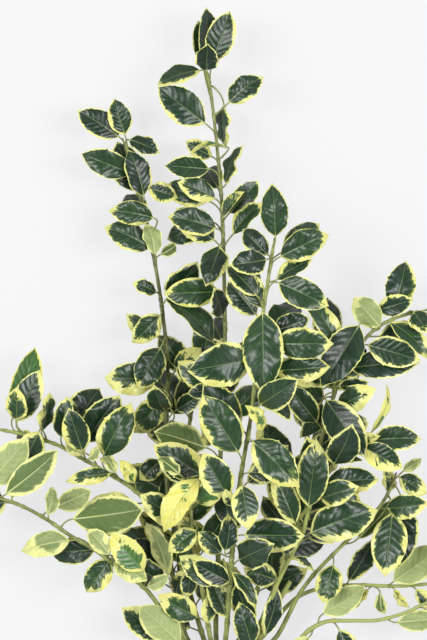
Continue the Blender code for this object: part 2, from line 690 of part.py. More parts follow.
def join_leaves(target, leaves):
    """Joins the closed bodies of another object to the target, which becomes one body."""
    union = target.modifiers.new("join", "BOOLEAN")
    union.operation = "UNION"
    union.solver = "EXACT"
    union.use_self = True
    union.object = leaves
    mesh = evaluated_mesh(target)
    target.modifiers.remove(union)
    target.data = mesh
    bpy.data.objects.remove(leaves)


def band_outline(clearance):
    """The outline round the tied stems, CLEARANCE outside them, as (x, z) points."""
    reach = STEM_BUTT + clearance
    points = []
    for sprig in SPRIGS.values():
        column, row = sprig["seat"]
        for step in range(24):
            turn = step * math.tau / 24
            points.append(Vector((column * STEM_PITCH + reach * math.cos(turn),
                                  FIRST_ROW + row * STEM_ROW + reach * math.sin(turn))))
    return [points[index] for index in convex_hull_2d(points)]


def tie(group, finish):
    """The band round the stems: a flat outline with a hole, standing across them."""
    curve = bpy.data.curves.new("tie", "CURVE")
    curve.dimensions = "2D"
    curve.fill_mode = "BOTH"
    curve.extrude = BAND_WIDTH / 2 * MM
    for clearance in (GAP + BAND_THICK, GAP):
        outline = band_outline(clearance)
        spline = curve.splines.new("POLY")
        spline.points.add(len(outline) - 1)
        for place, (x, z) in zip(spline.points, outline):
            place.co = (x * MM, z * MM, 0.0, 1.0)
        spline.use_cyclic_u = True
    found = bpy.data.objects.new("raffia_tie", curve)
    found.rotation_euler = (math.radians(90), 0, 0)
    found.data.materials.append(finish)
    group.objects.link(found)
    return found


def stand_on_origin(pieces):
    """Parents the pieces to an empty that puts the bunch's box over the origin."""
    bpy.context.view_layer.update()
    graph = bpy.context.evaluated_depsgraph_get()
    corners = []
    for piece in pieces:
        ready = piece.evaluated_get(graph)
        mesh = ready.to_mesh()
        corners += [ready.matrix_world @ vertex.co for vertex in mesh.vertices]
        ready.to_mesh_clear()
    low = [min(corner[axis] for corner in corners) for axis in range(3)]
    high = [max(corner[axis] for corner in corners) for axis in range(3)]
    middle = bpy.data.objects.new("bunch", None)
    bpy.context.scene.collection.objects.link(middle)
    middle.location = (-(low[0] + high[0]) / 2, -(low[1] + high[1]) / 2, -low[2])
    return middle


def build():
    group = collection("holly_bunch")
    green = material("stem_bark", (0.16, 0.22, 0.06), 0.5)
    blade = material("leaf_blade", (0.05, 0.13, 0.05), 0.3)
    raffia = material("raffia", (0.62, 0.47, 0.27), 0.75)
    bunch, leaves = lay_all()
    pieces = [tie(group, raffia)]
    for name, sprig in SPRIGS.items():
        found = stem(name + "_stem", sprig, group, green)
        pieces.append(found)
        line = bunch.lines[name]
        joined_leaves = [leaf_rings(line, leaf, True)
                         for sprig_name, _, leaf, own in leaves if sprig_name == name and not own]
        if joined_leaves:
            join_leaves(found, mesh_object(name + "_leaves", joined_leaves, group, blade))
        for sprig_name, number, leaf, own in leaves:
            if sprig_name == name and own:
                title = f"{name}_leaf_{number + 1:02d}"
                pieces.append(mesh_object(title, [leaf_rings(line, leaf, False)], group, blade))
    empty = stand_on_origin(pieces)
    for piece in pieces:
        piece.parent = empty


for found_object in list(bpy.data.objects):
    bpy.data.objects.remove(found_object, do_unlink=True)
build()
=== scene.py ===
"""A tied bunch of cut variegated holly, lying on a flat surface, with its stage.

Lengths in the tables are millimetres from the middle of the tie: X runs across the bunch,
Y from the tie towards the tips of the stems, and Z up from the surface it lies on.
"""

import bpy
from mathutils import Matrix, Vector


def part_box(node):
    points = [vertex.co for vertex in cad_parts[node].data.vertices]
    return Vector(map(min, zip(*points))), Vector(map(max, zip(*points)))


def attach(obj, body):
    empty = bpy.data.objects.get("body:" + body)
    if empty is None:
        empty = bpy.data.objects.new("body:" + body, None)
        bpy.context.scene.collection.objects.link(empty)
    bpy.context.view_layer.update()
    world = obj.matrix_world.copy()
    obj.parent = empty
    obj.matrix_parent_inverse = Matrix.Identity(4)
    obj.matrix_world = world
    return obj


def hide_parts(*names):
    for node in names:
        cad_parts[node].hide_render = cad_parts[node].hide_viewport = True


bl_info = {
    "name": "Variegated holly bunch",
    "version": (1, 0, 0),
    "blender": (4, 5, 0),
    "location": "View3D > Sidebar > Holly",
    "description": "Makes the leaves, stems and raffia tie of a bunch of cut holly",
    "category": "Object",
}

import math

import bpy
from bpy.props import (FloatProperty, FloatVectorProperty, IntProperty, PointerProperty)
from mathutils import Quaternion, Vector
from mathutils.geometry import convex_hull_2d

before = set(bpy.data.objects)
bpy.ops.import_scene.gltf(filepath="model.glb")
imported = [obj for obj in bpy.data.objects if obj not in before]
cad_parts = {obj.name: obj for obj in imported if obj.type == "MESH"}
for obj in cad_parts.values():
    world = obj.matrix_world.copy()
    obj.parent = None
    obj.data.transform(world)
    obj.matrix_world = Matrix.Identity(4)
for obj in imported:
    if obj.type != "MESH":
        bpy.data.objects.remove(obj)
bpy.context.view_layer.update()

MM = 0.001
UP = Vector((0.0, 0.0, 1.0))
ACROSS = Vector((1.0, 0.0, 0.0))

# The stems in the tie, in millimetres.
STEM_PITCH = 6.0  # from one column of stems to the next
STEM_ROW = 5.2  # from one row of stems to the next
STEM_BUTT = 2.7  # radius of a stem up to the tie
FIRST_ROW = 4.9  # height of the lowest row's middle
STRAIGHT = (-16.0, -8.0, 8.0, 16.0)  # Y of the straight stretch inside the tie
CUT_END = -72.0  # Y of the lowest cut end
CUT_SPREAD = 9.0  # how far the cut ends differ along Y
CUT_HEIGHT = 4.6  # height of the lowest row's cut ends
FLARE = 1.5  # how much further apart the cut ends are than the stems in the tie
CUT_LIFT = 1.2  # the same, upwards
GAP = 0.3  # between the stems and the tie
SURFACE = 0.3  # between the tie and the surface under it

# The CAD model's stems, which the stalks of the leaves start from, in millimetres.
STEM_STEP = 26.0  # between two sections of a stem
FACET_PARTS = 4  # places for a stalk between two sections
BACK_OFF = (0.6, 7.0)  # how far down the stem a stalk starts: share of its length, and most
HANGS_BACK = -0.3  # cosine between a leaf and its stem, past which the leaf hangs back
STALK_ROOT = 0.35  # where a stalk starts, out from the stem's middle, in radii of the stem
STALK_BEND = 0.5  # how far before the blade a stalk bends, as a share of its own length
FLAT_BEND = 0.01  # square millimetres, under which a stalk's bend has no plane of its own

GOLDEN = 0.618034
INNER_WIDTH = 0.54  # of the leaves further in, as a share of the length
INNER_FOLD = 15  # of their half blades, in degrees
ORDER_STEP = 40  # between the seeds of two sprigs, which is more than the leaves of any

# Each sprig: its column and row in the tie, its tip's radius, and the route of its stem above
# the tie.
STEMS = {
    "centre_tall": (
        (-0.5, 1), 1.5,
        ((-6, 60, 25), (-4, 130, 42), (-3, 200, 55), (0, 280, 62), (3, 355, 62), (2, 430, 58),
         (-1, 510, 52), (-5, 555, 48), (-10, 600, 45), (-14, 628, 43)),
    ),
    "left_tall": (
        (-2, 0), 1.5,
        ((-37, 60, 16), (-44, 140, 30), (-55, 210, 38), (-56, 275, 41), (-55, 340, 42),
         (-59, 380, 42), (-70, 450, 41), (-88, 525, 38), (-100, 562, 37)),
    ),
    "centre_front": (
        (0, 2), 1.5,
        ((5, 71, 44), (9, 133, 74), (17, 214, 100), (29, 287, 112), (36, 350, 115),
         (45, 415, 108), (52, 460, 100)),
    ),
    "left_front": (
        (-1, 2), 1.6,
        ((-47, 65, 40), (-62, 90, 52), (-77, 110, 62), (-102, 130, 72), (-127, 150, 80),
         (-152, 165, 84), (-177, 182, 85), (-202, 195, 83), (-222, 202, 80), (-240, 209, 77)),
    ),
    "left_middle": (
        (-1.5, 1), 1.6,
        ((-40, 60, 24), (-48, 110, 34), (-55, 150, 44), (-68, 188, 50), (-90, 210, 52),
         (-117, 227, 52), (-140, 240, 50), (-166, 254, 47), (-194, 263, 44), (-232, 271, 42)),
    ),
    "centre_low": (
        (-0.5, 3), 1.7,
        ((-12, 60, 38), (-20, 110, 58), (-28, 150, 74), (-32, 200, 84), (-34, 225, 86)),
    ),
    "right_high": (
        (0.5, 1), 1.5,
        ((38, 70, 19), (54, 110, 30), (70, 150, 44), (90, 220, 60), (105, 280, 70),
         (118, 320, 73), (135, 350, 73), (155, 372, 70), (180, 384, 66), (206, 390, 61)),
    ),
    "right_middle": (
        (0.5, 3), 1.5,
        ((34, 60, 38), (46, 90, 48), (58, 120, 58), (70, 145, 68), (80, 165, 76),
         (88, 195, 84), (100, 222, 88), (120, 242, 86), (145, 252, 83), (165, 257, 80)),
    ),
    "right_dark": (
        (1.5, 1), 1.4,
        ((56, 60, 28), (69, 85, 36), (78, 103, 42), (90, 120, 46), (108, 140, 52),
         (133, 165, 57), (150, 182, 58), (165, 202, 57), (175, 225, 55)),
    ),
    "right_low": (
        (1, 0), 1.5,
        ((43, 60, 14), (61, 84, 20), (80, 101, 26), (108, 110, 31), (140, 112, 35),
         (173, 111, 37), (205, 113, 38), (224, 116, 38)),
    ),
    "right_lowest": (
        (2, 0), 1.4,
        ((74, 52, 31), (90, 68, 39), (103, 75, 44), (130, 77, 50), (158, 78, 54),
         (180, 84, 55), (205, 95, 54), (228, 105, 52)),
    ),
    "left_back": (
        (-1, 0), 1.6,
        ((-20, 60, 8), (-34, 110, 13), (-44, 165, 16), (-40, 230, 18), (-30, 290, 18),
         (-22, 330, 17)),
    ),
    "right_back": (
        (0, 0), 1.6,
        ((20, 60, 8), (44, 130, 14), (66, 190, 18), (84, 250, 20), (98, 310, 20),
         (110, 350, 19)),
    ),
    "cut_stub": ((1, 2), 2.6, ((38, 60, 32), (54, 90, 36), (69, 116, 39))),
}

# Each leaf: (x, y, z of the blade's foot, x, y, z of its point, roll about the midrib, width as
# a share of the length, rise of the midrib as a share of the length, fold of each half blade,
# how far down the stem its stalk is moved, and which of the MARKINGS it has).
LEAVES = {
    "centre_tall": (
        (-9.2, 640.6, 46.4, 8, 692, 51.2, 0, 0.54, 0.062, 13, 0, "s"),
        (-17.7, 640.9, 44.8, -16, 696, 45.2, 45, 0.54, 0.049, 11, 0, "d"),
        (-17, 578, 51.3, -65, 614, 57.3, 0, 0.54, 0.037, 8, 0, "p"),
        (-13, 532, 53.7, -58, 535, 57.7, 0, 0.54, 0.105, 22, 0, "d"),
        (-3, 408, 64.4, -59, 408, 68.4, 0, 0.54, 0.092, 19, 0, "b"),
        (-6, 472, 61.9, -54, 484, 67.9, 15, 0.54, 0.08, 17, 0, "p"),
        (-22, 632, 42.2, -66, 618, 46.2, 40, 0.54, 0.068, 14, 0, "p"),
        (6.8, 598.9, 48.9, 39, 628, 53.2, -15, 0.54, 0.056, 12, 0, "s"),
        (-17.3, 222.4, 65.7, -69, 255, 79.8, 10, 0.54, 0.043, 10, 0, "b"),
        (-15, 631, 60.2, -17, 654, 94.2, 0, 0.54, 0.031, 23, 6, "d"),
        (4, 554, 57.2, -32, 549, 65.2, 72, 0.54, 0.099, 21, 0, "y"),
        (-19.2, 640.2, 36.9, -24, 683, 40.2, 20, 0.54, 0.087, 18, 12, "d"),
        (2, 597, 38.2, 6, 552, 32.2, 50, 0.54, 0.074, 16, 12, "P"),
        (4, 517, 55.2, 18, 557, 64.2, -50, 0.54, 0.062, 13, 0, "s"),
        (-7, 502, 58.8, -44, 520, 69.8, 20, 0.54, 0.05, 11, 0, "P"),
        (-2, 454, 66.4, -14, 417, 92.4, 0, 0.54, 0.038, 8, 0, "p"),
        (-9, 358, 65.9, -57, 403, 66.9, 42, 0.54, 0.105, 22, 0, "d"),
        (1, 483, 58.4, 23, 509, 66.4, -50, 0.54, 0.093, 20, 0, "t"),
        (11, 466, 61.4, 42, 499, 67.4, -40, 0.54, 0.081, 17, 0, "P"),
        (-15.5, 251.8, 69.3, -69, 268, 76.2, 165, 0.56, 0.069, 15, 0, "g"),
        (-17, 216, 60, -50, 184, 60, 30, 0.42, 0.056, 12, 0, "d"),
        (-4, 310, 68.6, -35, 307, 72.6, 10, 0.54, 0.044, 10, 0, "d"),
        (-10, 545, 39.7, -38, 559, 33.7, 0, 0.54, 0.032, 23, 0, "b"),
        (-14, 500, 44.8, -59, 515, 36.8, 0, 0.54, 0.099, 21, 0, "p"),
        (-14, 478, 46.4, -57, 462, 38.4, 0, 0.54, 0.087, 18, 0, "d"),
    ),
    "left_tall": (
        (-104, 565, 41.1, -145, 593, 45.1, 10, 0.54, 0.051, 11, 0, "d"),
        (-98, 567, 43.1, -109, 603, 49.1, 0, 0.6, 0.039, 9, 0, "p"),
        (-92, 528, 43.9, -142, 548, 47.9, 0, 0.54, 0.106, 22, 0, "d"),
        (-69, 483, 48, -113, 494, 52, 5, 0.54, 0.094, 20, 0, "p"),
        (-72, 453, 45.9, -118, 475, 49.9, 15, 0.54, 0.082, 17, 0, "p"),
        (-62, 352, 49, -86, 312, 59, 0, 0.6, 0.07, 15, 0, "p"),
        (-94, 562, 38.1, -62, 550, 42.1, -30, 0.54, 0.057, 12, 0, "d"),
        (-79, 505, 44.9, -92, 552, 52.9, 30, 0.54, 0.045, 10, 0, "d"),
        (-74, 513, 41.6, -44, 505, 49.6, 0, 0.6, 0.033, 23, 0, "b"),
        (-62, 446, 47.1, -45, 455, 63.1, 165, 0.5, 0.101, 21, 0, "g"),
        (-67, 446, 55.1, -76, 478, 65.1, 150, 0.54, 0.088, 18, 0, "d"),
        (-66, 408, 45.8, -90, 416, 55.8, 30, 0.54, 0.076, 16, 0, "d"),
        (-62, 385, 48, -90, 357, 54, -10, 0.6, 0.064, 14, 0, "b"),
        (-66, 318, 43.8, -118, 326, 47.8, 0, 0.6, 0.052, 11, 0, "P"),
        (-46, 332, 44.9, -16, 318, 50.9, -10, 0.7, 0.039, 9, 0, "d"),
        (-46, 289, 44.3, -20, 306, 48.3, 0, 0.65, 0.107, 22, 0, "d"),
        (-58, 300, 36.6, -92, 268, 32.6, 0, 0.6, 0.095, 20, 6, "b"),
        (-50, 288, 49.3, -70, 312, 57.3, 65, 0.54, 0.083, 17, 6, "P"),
        (-62, 238, 42.7, -84, 220, 44.7, 0, 0.7, 0.07, 15, 0, "p"),
        (-87, 510, 32.6, -108, 561, 26.6, 0, 0.54, 0.058, 12, 0, "d"),
    ),
    "centre_front": (
        (40, 388, 124, 41, 308, 138, 0, 0.46, 0.04, 9, 0, "h"),
        (53, 463, 106.5, 51, 515, 114.5, 0, 0.54, 0.108, 22, 0, "d"),
        (30, 260, 120.6, 79, 219, 132.6, 0, 0.54, 0.096, 20, 0, "s"),
        (16, 249, 118.6, -20, 306, 128.6, 0, 0.54, 0.084, 18, 0, "P"),
        (20, 216, 112.6, 26, 172, 124.6, 0, 0.6, 0.071, 15, 0, "S"),
        (22, 166, 96.3, 82, 167, 106.3, 0, 0.54, 0.059, 13, 0, "s"),
        (30, 340, 120.8, -31, 333, 142.8, 0, 0.62, 0.047, 10, 0, "b"),
        (6, 204, 105.3, -20, 248, 113.3, 0, 0.62, 0.035, 24, 0, "P"),
        (52.6, 356.4, 121.1, 110, 358, 132.5, 0, 0.55, 0.102, 21, 0, "p"),
        (58, 443, 108.6, 106, 464, 114.6, -10, 0.54, 0.09, 19, 0, "s"),
        (56, 417, 115.5, 106, 395, 125.5, 0, 0.54, 0.078, 16, 0, "t"),
        (54, 420, 108.6, 90, 440, 109.6, -40, 0.54, 0.066, 14, 0, "p"),
        (44, 440, 111.6, 10, 432, 133.6, 0, 0.6, 0.053, 12, 0, "d"),
        (41, 307, 118.6, 68, 280, 130.6, -45, 0.54, 0.041, 9, 0, "d"),
        (40, 270, 120.2, 27, 297, 130.2, 45, 0.54, 0.109, 23, 0, "y"),
        (10, 128, 78.8, 38, 94, 86.8, -30, 0.36, 0.097, 20, 0, "d"),
        (-1, 147, 83.8, -24, 169, 89.8, 0, 0.6, 0.084, 18, 0, "p"),
        (3, 150, 94.3, 10, 186, 102.3, 20, 0.55, 0.072, 15, 0, "d"),
        (8, 117, 70.8, -30, 138, 75.8, 0, 0.54, 0.06, 13, 0, "d"),
        (5, 80, 50.9, -14, 122, 51.9, 25, 0.54, 0.047, 10, 0, "S"),
        (25, 228, 106.2, 62, 230, 108.2, -10, 0.54, 0.035, 24, 0, "p"),
        (18, 152, 82.3, 42, 140.3, 84.3, 0, 0.54, 0.103, 22, 0, "d"),
        (60, 448, 95.6, 100, 475, 89.6, 0, 0.54, 0.091, 19, 0, "d"),
        (40, 392, 107.4, 18, 428, 98.4, 20, 0.54, 0.078, 17, 0, "s"),
        (34, 385, 104, 6, 420, 91, 0, 0.54, 0.066, 14, 0, "d"),
        (46, 445, 91.6, 18, 470, 83.6, 0, 0.54, 0.054, 12, 6, "d"),
        (50, 368, 107.8, 88, 382, 101.8, 0, 0.54, 0.042, 9, 0, "d"),
        (50.9, 330, 114.7, 108, 332, 114.7, 0, 0.5, 0.109, 23, 0, "S"),
    ),
    "left_front": (
        (-149.1, 181.5, 90.9, -77, 192, 100.1, 172, 0.58, 0.11, 23, 0, "g"),
        (-152, 160, 88.5, -201, 153, 88.5, 176, 0.52, 0.098, 20, 0, "S"),
        (-112, 140, 70, -137, 106, 64, 0, 0.6, 0.085, 18, 0, "P"),
        (-78.4, 128.7, 75.8, -111, 168, 86.8, 0, 0.56, 0.073, 16, 0, "y"),
        (-216, 206, 88.4, -162, 250, 94.4, 165, 0.44, 0.061, 13, 0, "g"),
        (-56, 58, 42.7, -100, 92, 48.7, 0, 0.52, 0.049, 11, 0, "S"),
        (-108, 143, 78, -76.6, 116.6, 78, 162, 0.55, 0.036, 8, 0, "P"),
        (-166, 194, 86.9, -130, 210, 91.9, 170, 0.62, 0.104, 22, 0, "d"),
        (-173, 186, 96.9, -169, 216, 116.9, 150, 0.5, 0.092, 19, 0, "d"),
        (-127, 150, 72.5, -175, 146, 64.5, 0, 0.54, 0.08, 17, 6, "d"),
        (-236, 214, 81.4, -194, 263, 83.4, 172, 0.5, 0.067, 14, 0, "s"),
        (-112, 146, 87, -134, 172, 89, 172, 0.6, 0.055, 12, 0, "b"),
        (-42, 54, 46.7, -84, 94, 66.7, 176, 0.5, 0.043, 9, 0, "d"),
        (-75, 112, 68.8, -52, 122, 72.8, 160, 0.6, 0.03, 23, 0, "d"),
        (-244, 212, 82.4, -272, 232, 76.4, 170, 0.54, 0.098, 20, 0, "s"),
        (-238, 205, 76.4, -262, 184, 70.4, 0, 0.55, 0.086, 18, 0, "d"),
        (-210, 202, 80.9, -205, 236, 70.9, 150, 0.4, 0.074, 16, 0, "d"),
    ),
    "left_middle": (
        (-119, 243, 61.2, -94, 297, 71.2, 0, 0.56, 0.099, 21, 0, "p"),
        (-162, 262, 55.4, -155, 303, 65.4, 0, 0.5, 0.087, 18, 0, "d"),
        (-137.1, 256.8, 54.6, -106, 307, 58.6, 0, 0.54, 0.075, 16, 0, "d"),
        (-184, 268, 57.1, -204, 224, 76.1, 0, 0.5, 0.063, 13, 0, "S"),
        (-207, 277, 42.2, -184, 330, 40.2, 0, 0.5, 0.05, 11, 0, "s"),
        (-153.7, 266.3, 44.5, -124, 313, 37.4, 0, 0.62, 0.038, 8, 0, "d"),
        (-212, 280, 36.8, -189, 353, 28.8, 14, 0.42, 0.106, 22, 0, "o"),
        (-207.3, 279.5, 53.6, -203, 312, 70.2, 0, 0.6, 0.094, 20, 6, "b"),
        (-112, 226, 62, -154, 219, 82, 10, 0.36, 0.081, 17, 0, "P"),
        (-152, 257, 50.1, -150, 302, 55.1, 60, 0.36, 0.069, 15, 0, "p"),
        (-182, 268, 44.1, -174, 308, 46.1, 45, 0.54, 0.057, 12, 0, "P"),
        (-137, 246, 59.6, -158, 256, 71.6, 165, 0.62, 0.044, 10, 0, "b"),
        (-134, 240, 62.2, -121, 252, 74.2, 160, 0.54, 0.032, 23, 0, "s"),
        (-107, 226, 62, -120, 246, 78, 150, 0.5, 0.1, 21, 0, "b"),
        (-88, 216, 60, -101, 240, 68, 20, 0.54, 0.088, 18, 0, "y"),
        (-62, 188, 57.7, -76, 204, 67.7, 40, 0.54, 0.075, 16, 0, "y"),
        (-54, 122, 47.2, -74, 182, 67.2, 155, 0.32, 0.063, 14, 0, "S"),
        (-58, 168, 51, -82, 188, 57, 0, 0.6, 0.051, 11, 0, "b"),
        (-236, 274, 44.2, -266, 294, 40.2, 170, 0.54, 0.039, 9, 0, "d"),
    ),
    "centre_low": (
        (-26, 170, 85.3, -54, 150, 91.3, 0, 0.62, 0.089, 19, 0, "b"),
        (-32, 130, 61.4, -33, 100, 55.4, 0, 0.55, 0.077, 16, 0, "d"),
        (-36, 128, 55.4, -50, 96, 44.4, 45, 0.54, 0.064, 14, 6, "S"),
        (-14, 74, 47.2, -14, 106, 55.2, 20, 0.5, 0.052, 11, 0, "b"),
        (-42, 226, 88.8, -64, 244, 91.8, 150, 0.54, 0.04, 9, 0, "g"),
        (-23, 222, 95.8, -60, 170, 100.8, 25, 0.46, 0.108, 22, 0, "w"),
    ),
    "right_high": (
        (137.1, 374.7, 78.8, 100, 313, 95.1, 0, 0.5, 0.078, 16, 0, "d"),
        (104, 300, 83.7, 143, 243, 97.7, 0, 0.52, 0.066, 14, 0, "d"),
        (146, 355, 75.9, 199, 340, 81.9, 0, 0.54, 0.054, 12, 0, "s"),
        (158, 373, 72.5, 131, 403, 84.5, 170, 0.62, 0.042, 9, 0, "t"),
        (156, 390, 69.5, 192, 400, 75.5, 0, 0.6, 0.109, 23, 0, "p"),
        (168, 378, 69.5, 209, 342.1, 77.5, -35, 0.45, 0.097, 20, 0, "p"),
        (120, 350, 79, 81, 405, 81, 25, 0.36, 0.085, 18, 0, "S"),
        (128, 332, 73, 199, 336, 71, -15, 0.42, 0.072, 15, 0, "d"),
        (192, 388, 70.1, 206, 368, 88.1, 0, 0.7, 0.06, 13, 0, "s"),
        (110, 318, 74.9, 63.4, 322.8, 78.9, 30, 0.4, 0.048, 10, 0, "p"),
        (116, 314, 77.6, 147, 317, 79.6, 30, 0.5, 0.036, 8, 0, "d"),
        (100, 298, 67.7, 80, 260, 61.7, -30, 0.45, 0.103, 22, 0, "d"),
        (212, 394, 64.6, 240, 412, 66.6, 0, 0.55, 0.091, 19, 0, "s"),
        (210, 386, 64.6, 243, 376, 55.6, 10, 0.5, 0.079, 17, 6, "d"),
    ),
    "right_middle": (
        (86, 194, 93, 95, 262, 105, 0, 0.46, 0.068, 14, 0, "t"),
        (88, 167, 83, 153, 195, 91, -10, 0.52, 0.056, 12, 0, "S"),
        (140, 254, 93.4, 180, 232, 98.4, 0, 0.56, 0.043, 10, 0, "S"),
        (104, 217, 91.5, 156, 225, 95.5, -10, 0.52, 0.031, 23, 0, "s"),
        (150, 260, 85.9, 199, 263, 89.9, -10, 0.55, 0.099, 21, 0, "d"),
        (30, 52, 44, 18, 96, 56, 0, 0.52, 0.086, 18, 0, "d"),
        (73, 176, 83, 50, 228, 87, 15, 0.46, 0.074, 16, 0, "P"),
        (56, 118, 52.8, 21, 130, 48.8, 0, 0.62, 0.062, 13, 0, "s"),
        (43, 62, 43.2, 60, 110, 52.2, 20, 0.34, 0.05, 11, 0, "d"),
        (112, 238, 92.8, 140.6, 242, 102.8, -60, 0.4, 0.037, 8, 0, "d"),
        (78, 180, 75, 70, 230, 69, 0, 0.54, 0.105, 22, 6, "S"),
        (128.3, 263.5, 86.1, 158, 262, 96.1, 30, 0.4, 0.093, 19, 0, "P"),
        (150, 268, 75.9, 170, 315, 69.9, 50, 0.22, 0.081, 17, 0, "y"),
    ),
    "right_dark": (
        (171, 186, 65.4, 164, 123, 79.4, 0, 0.54, 0.057, 12, 0, "b"),
        (136, 160, 61.4, 172, 199, 59.4, 130, 0.34, 0.045, 10, 0, "o"),
        (180.7, 196.3, 56.4, 181, 130, 63.8, 0, 0.5, 0.033, 23, 0, "d"),
        (112, 134, 57.2, 103, 95, 65.2, 0, 0.66, 0.1, 21, 0, "b"),
        (168, 206, 50.8, 168, 232, 44.8, 20, 0.6, 0.088, 18, 0, "b"),
        (178, 222, 57.2, 207, 207, 61.2, 0, 0.6, 0.076, 16, 0, "s"),
        (92, 128, 53.2, 72, 144, 59.2, 50, 0.36, 0.064, 14, 0, "d"),
        (182, 228, 61.2, 200, 242, 63.2, 160, 0.45, 0.051, 11, 0, "d"),
    ),
    "right_low": (
        (173, 116, 45.1, 222, 154, 55.1, 172, 0.48, 0.047, 10, 0, "d"),
        (128, 116, 37.5, 153, 159, 41.5, 20, 0.42, 0.034, 24, 0, "d"),
        (148, 108, 38.2, 133, 88, 42.2, 40, 0.54, 0.102, 21, 0, "y"),
        (160, 104, 37.2, 163, 82, 48.2, 150, 0.5, 0.09, 19, 6, "g"),
        (174, 108, 40.1, 188, 90, 48.1, 50, 0.45, 0.078, 16, 0, "y"),
        (228, 120, 40, 262, 134, 40, 170, 0.54, 0.065, 14, 0, "d"),
        (227, 113, 44, 258, 104, 40, 0, 0.54, 0.053, 12, 0, "t"),
        (196, 108, 39.6, 214, 88, 41.6, 0, 0.5, 0.041, 9, 0, "P"),
    ),
    "right_lowest": (
        (102, 84, 50.8, 146, 111, 58.8, 172, 0.44, 0.036, 8, 0, "d"),
        (176, 76, 58.6, 220, 80, 60.6, 174, 0.5, 0.104, 22, 0, "d"),
        (88, 60, 42, 60, 36, 34, 165, 0.38, 0.092, 19, 0, "p"),
        (84, 58, 36, 92, 24, 23, 170, 0.45, 0.079, 17, 0, "d"),
        (118, 68, 49.8, 136, 34, 43.8, 0, 0.5, 0.067, 14, 0, "d"),
        (232, 108, 54.2, 262, 112, 54.2, 172, 0.5, 0.055, 12, 0, "S"),
        (206, 88, 50.1, 232, 66, 44.1, 0, 0.5, 0.043, 9, 0, "p"),
    ),
    "left_back": (
        (-50, 160, 17.8, -112, 150, 1.8, 0, 0.54, 0.106, 22, 0, "P"),
        (-48, 200, 19.3, -100, 232, 3.3, 0, 0.54, 0.093, 20, 0, "b"),
        (-36, 285, 20, -72, 330, 4, 0, 0.54, 0.081, 17, 0, "d"),
        (-20, 335, 19.1, -10, 384, 3.1, 0, 0.54, 0.069, 15, 0, "s"),
    ),
    "right_back": (
        (72, 200, 20.5, 128, 200, 2.5, 0, 0.54, 0.095, 20, 0, "d"),
        (90, 255, 22, 150, 276, 2, 0, 0.54, 0.083, 17, 0, "b"),
        (104, 320, 21.7, 152, 348, 1.7, 0, 0.54, 0.071, 15, 0, "s"),
        (108, 354, 19.1, 106, 404, 1.1, 0, 0.54, 0.058, 12, 0, "d"),
        (48, 150, 17.4, 108, 156, 3.4, 0, 0.54, 0.046, 10, 0, "d"),
        (92, 300, 22.1, 44, 340, 4.1, 0, 0.54, 0.034, 24, 0, "b"),
    ),
}

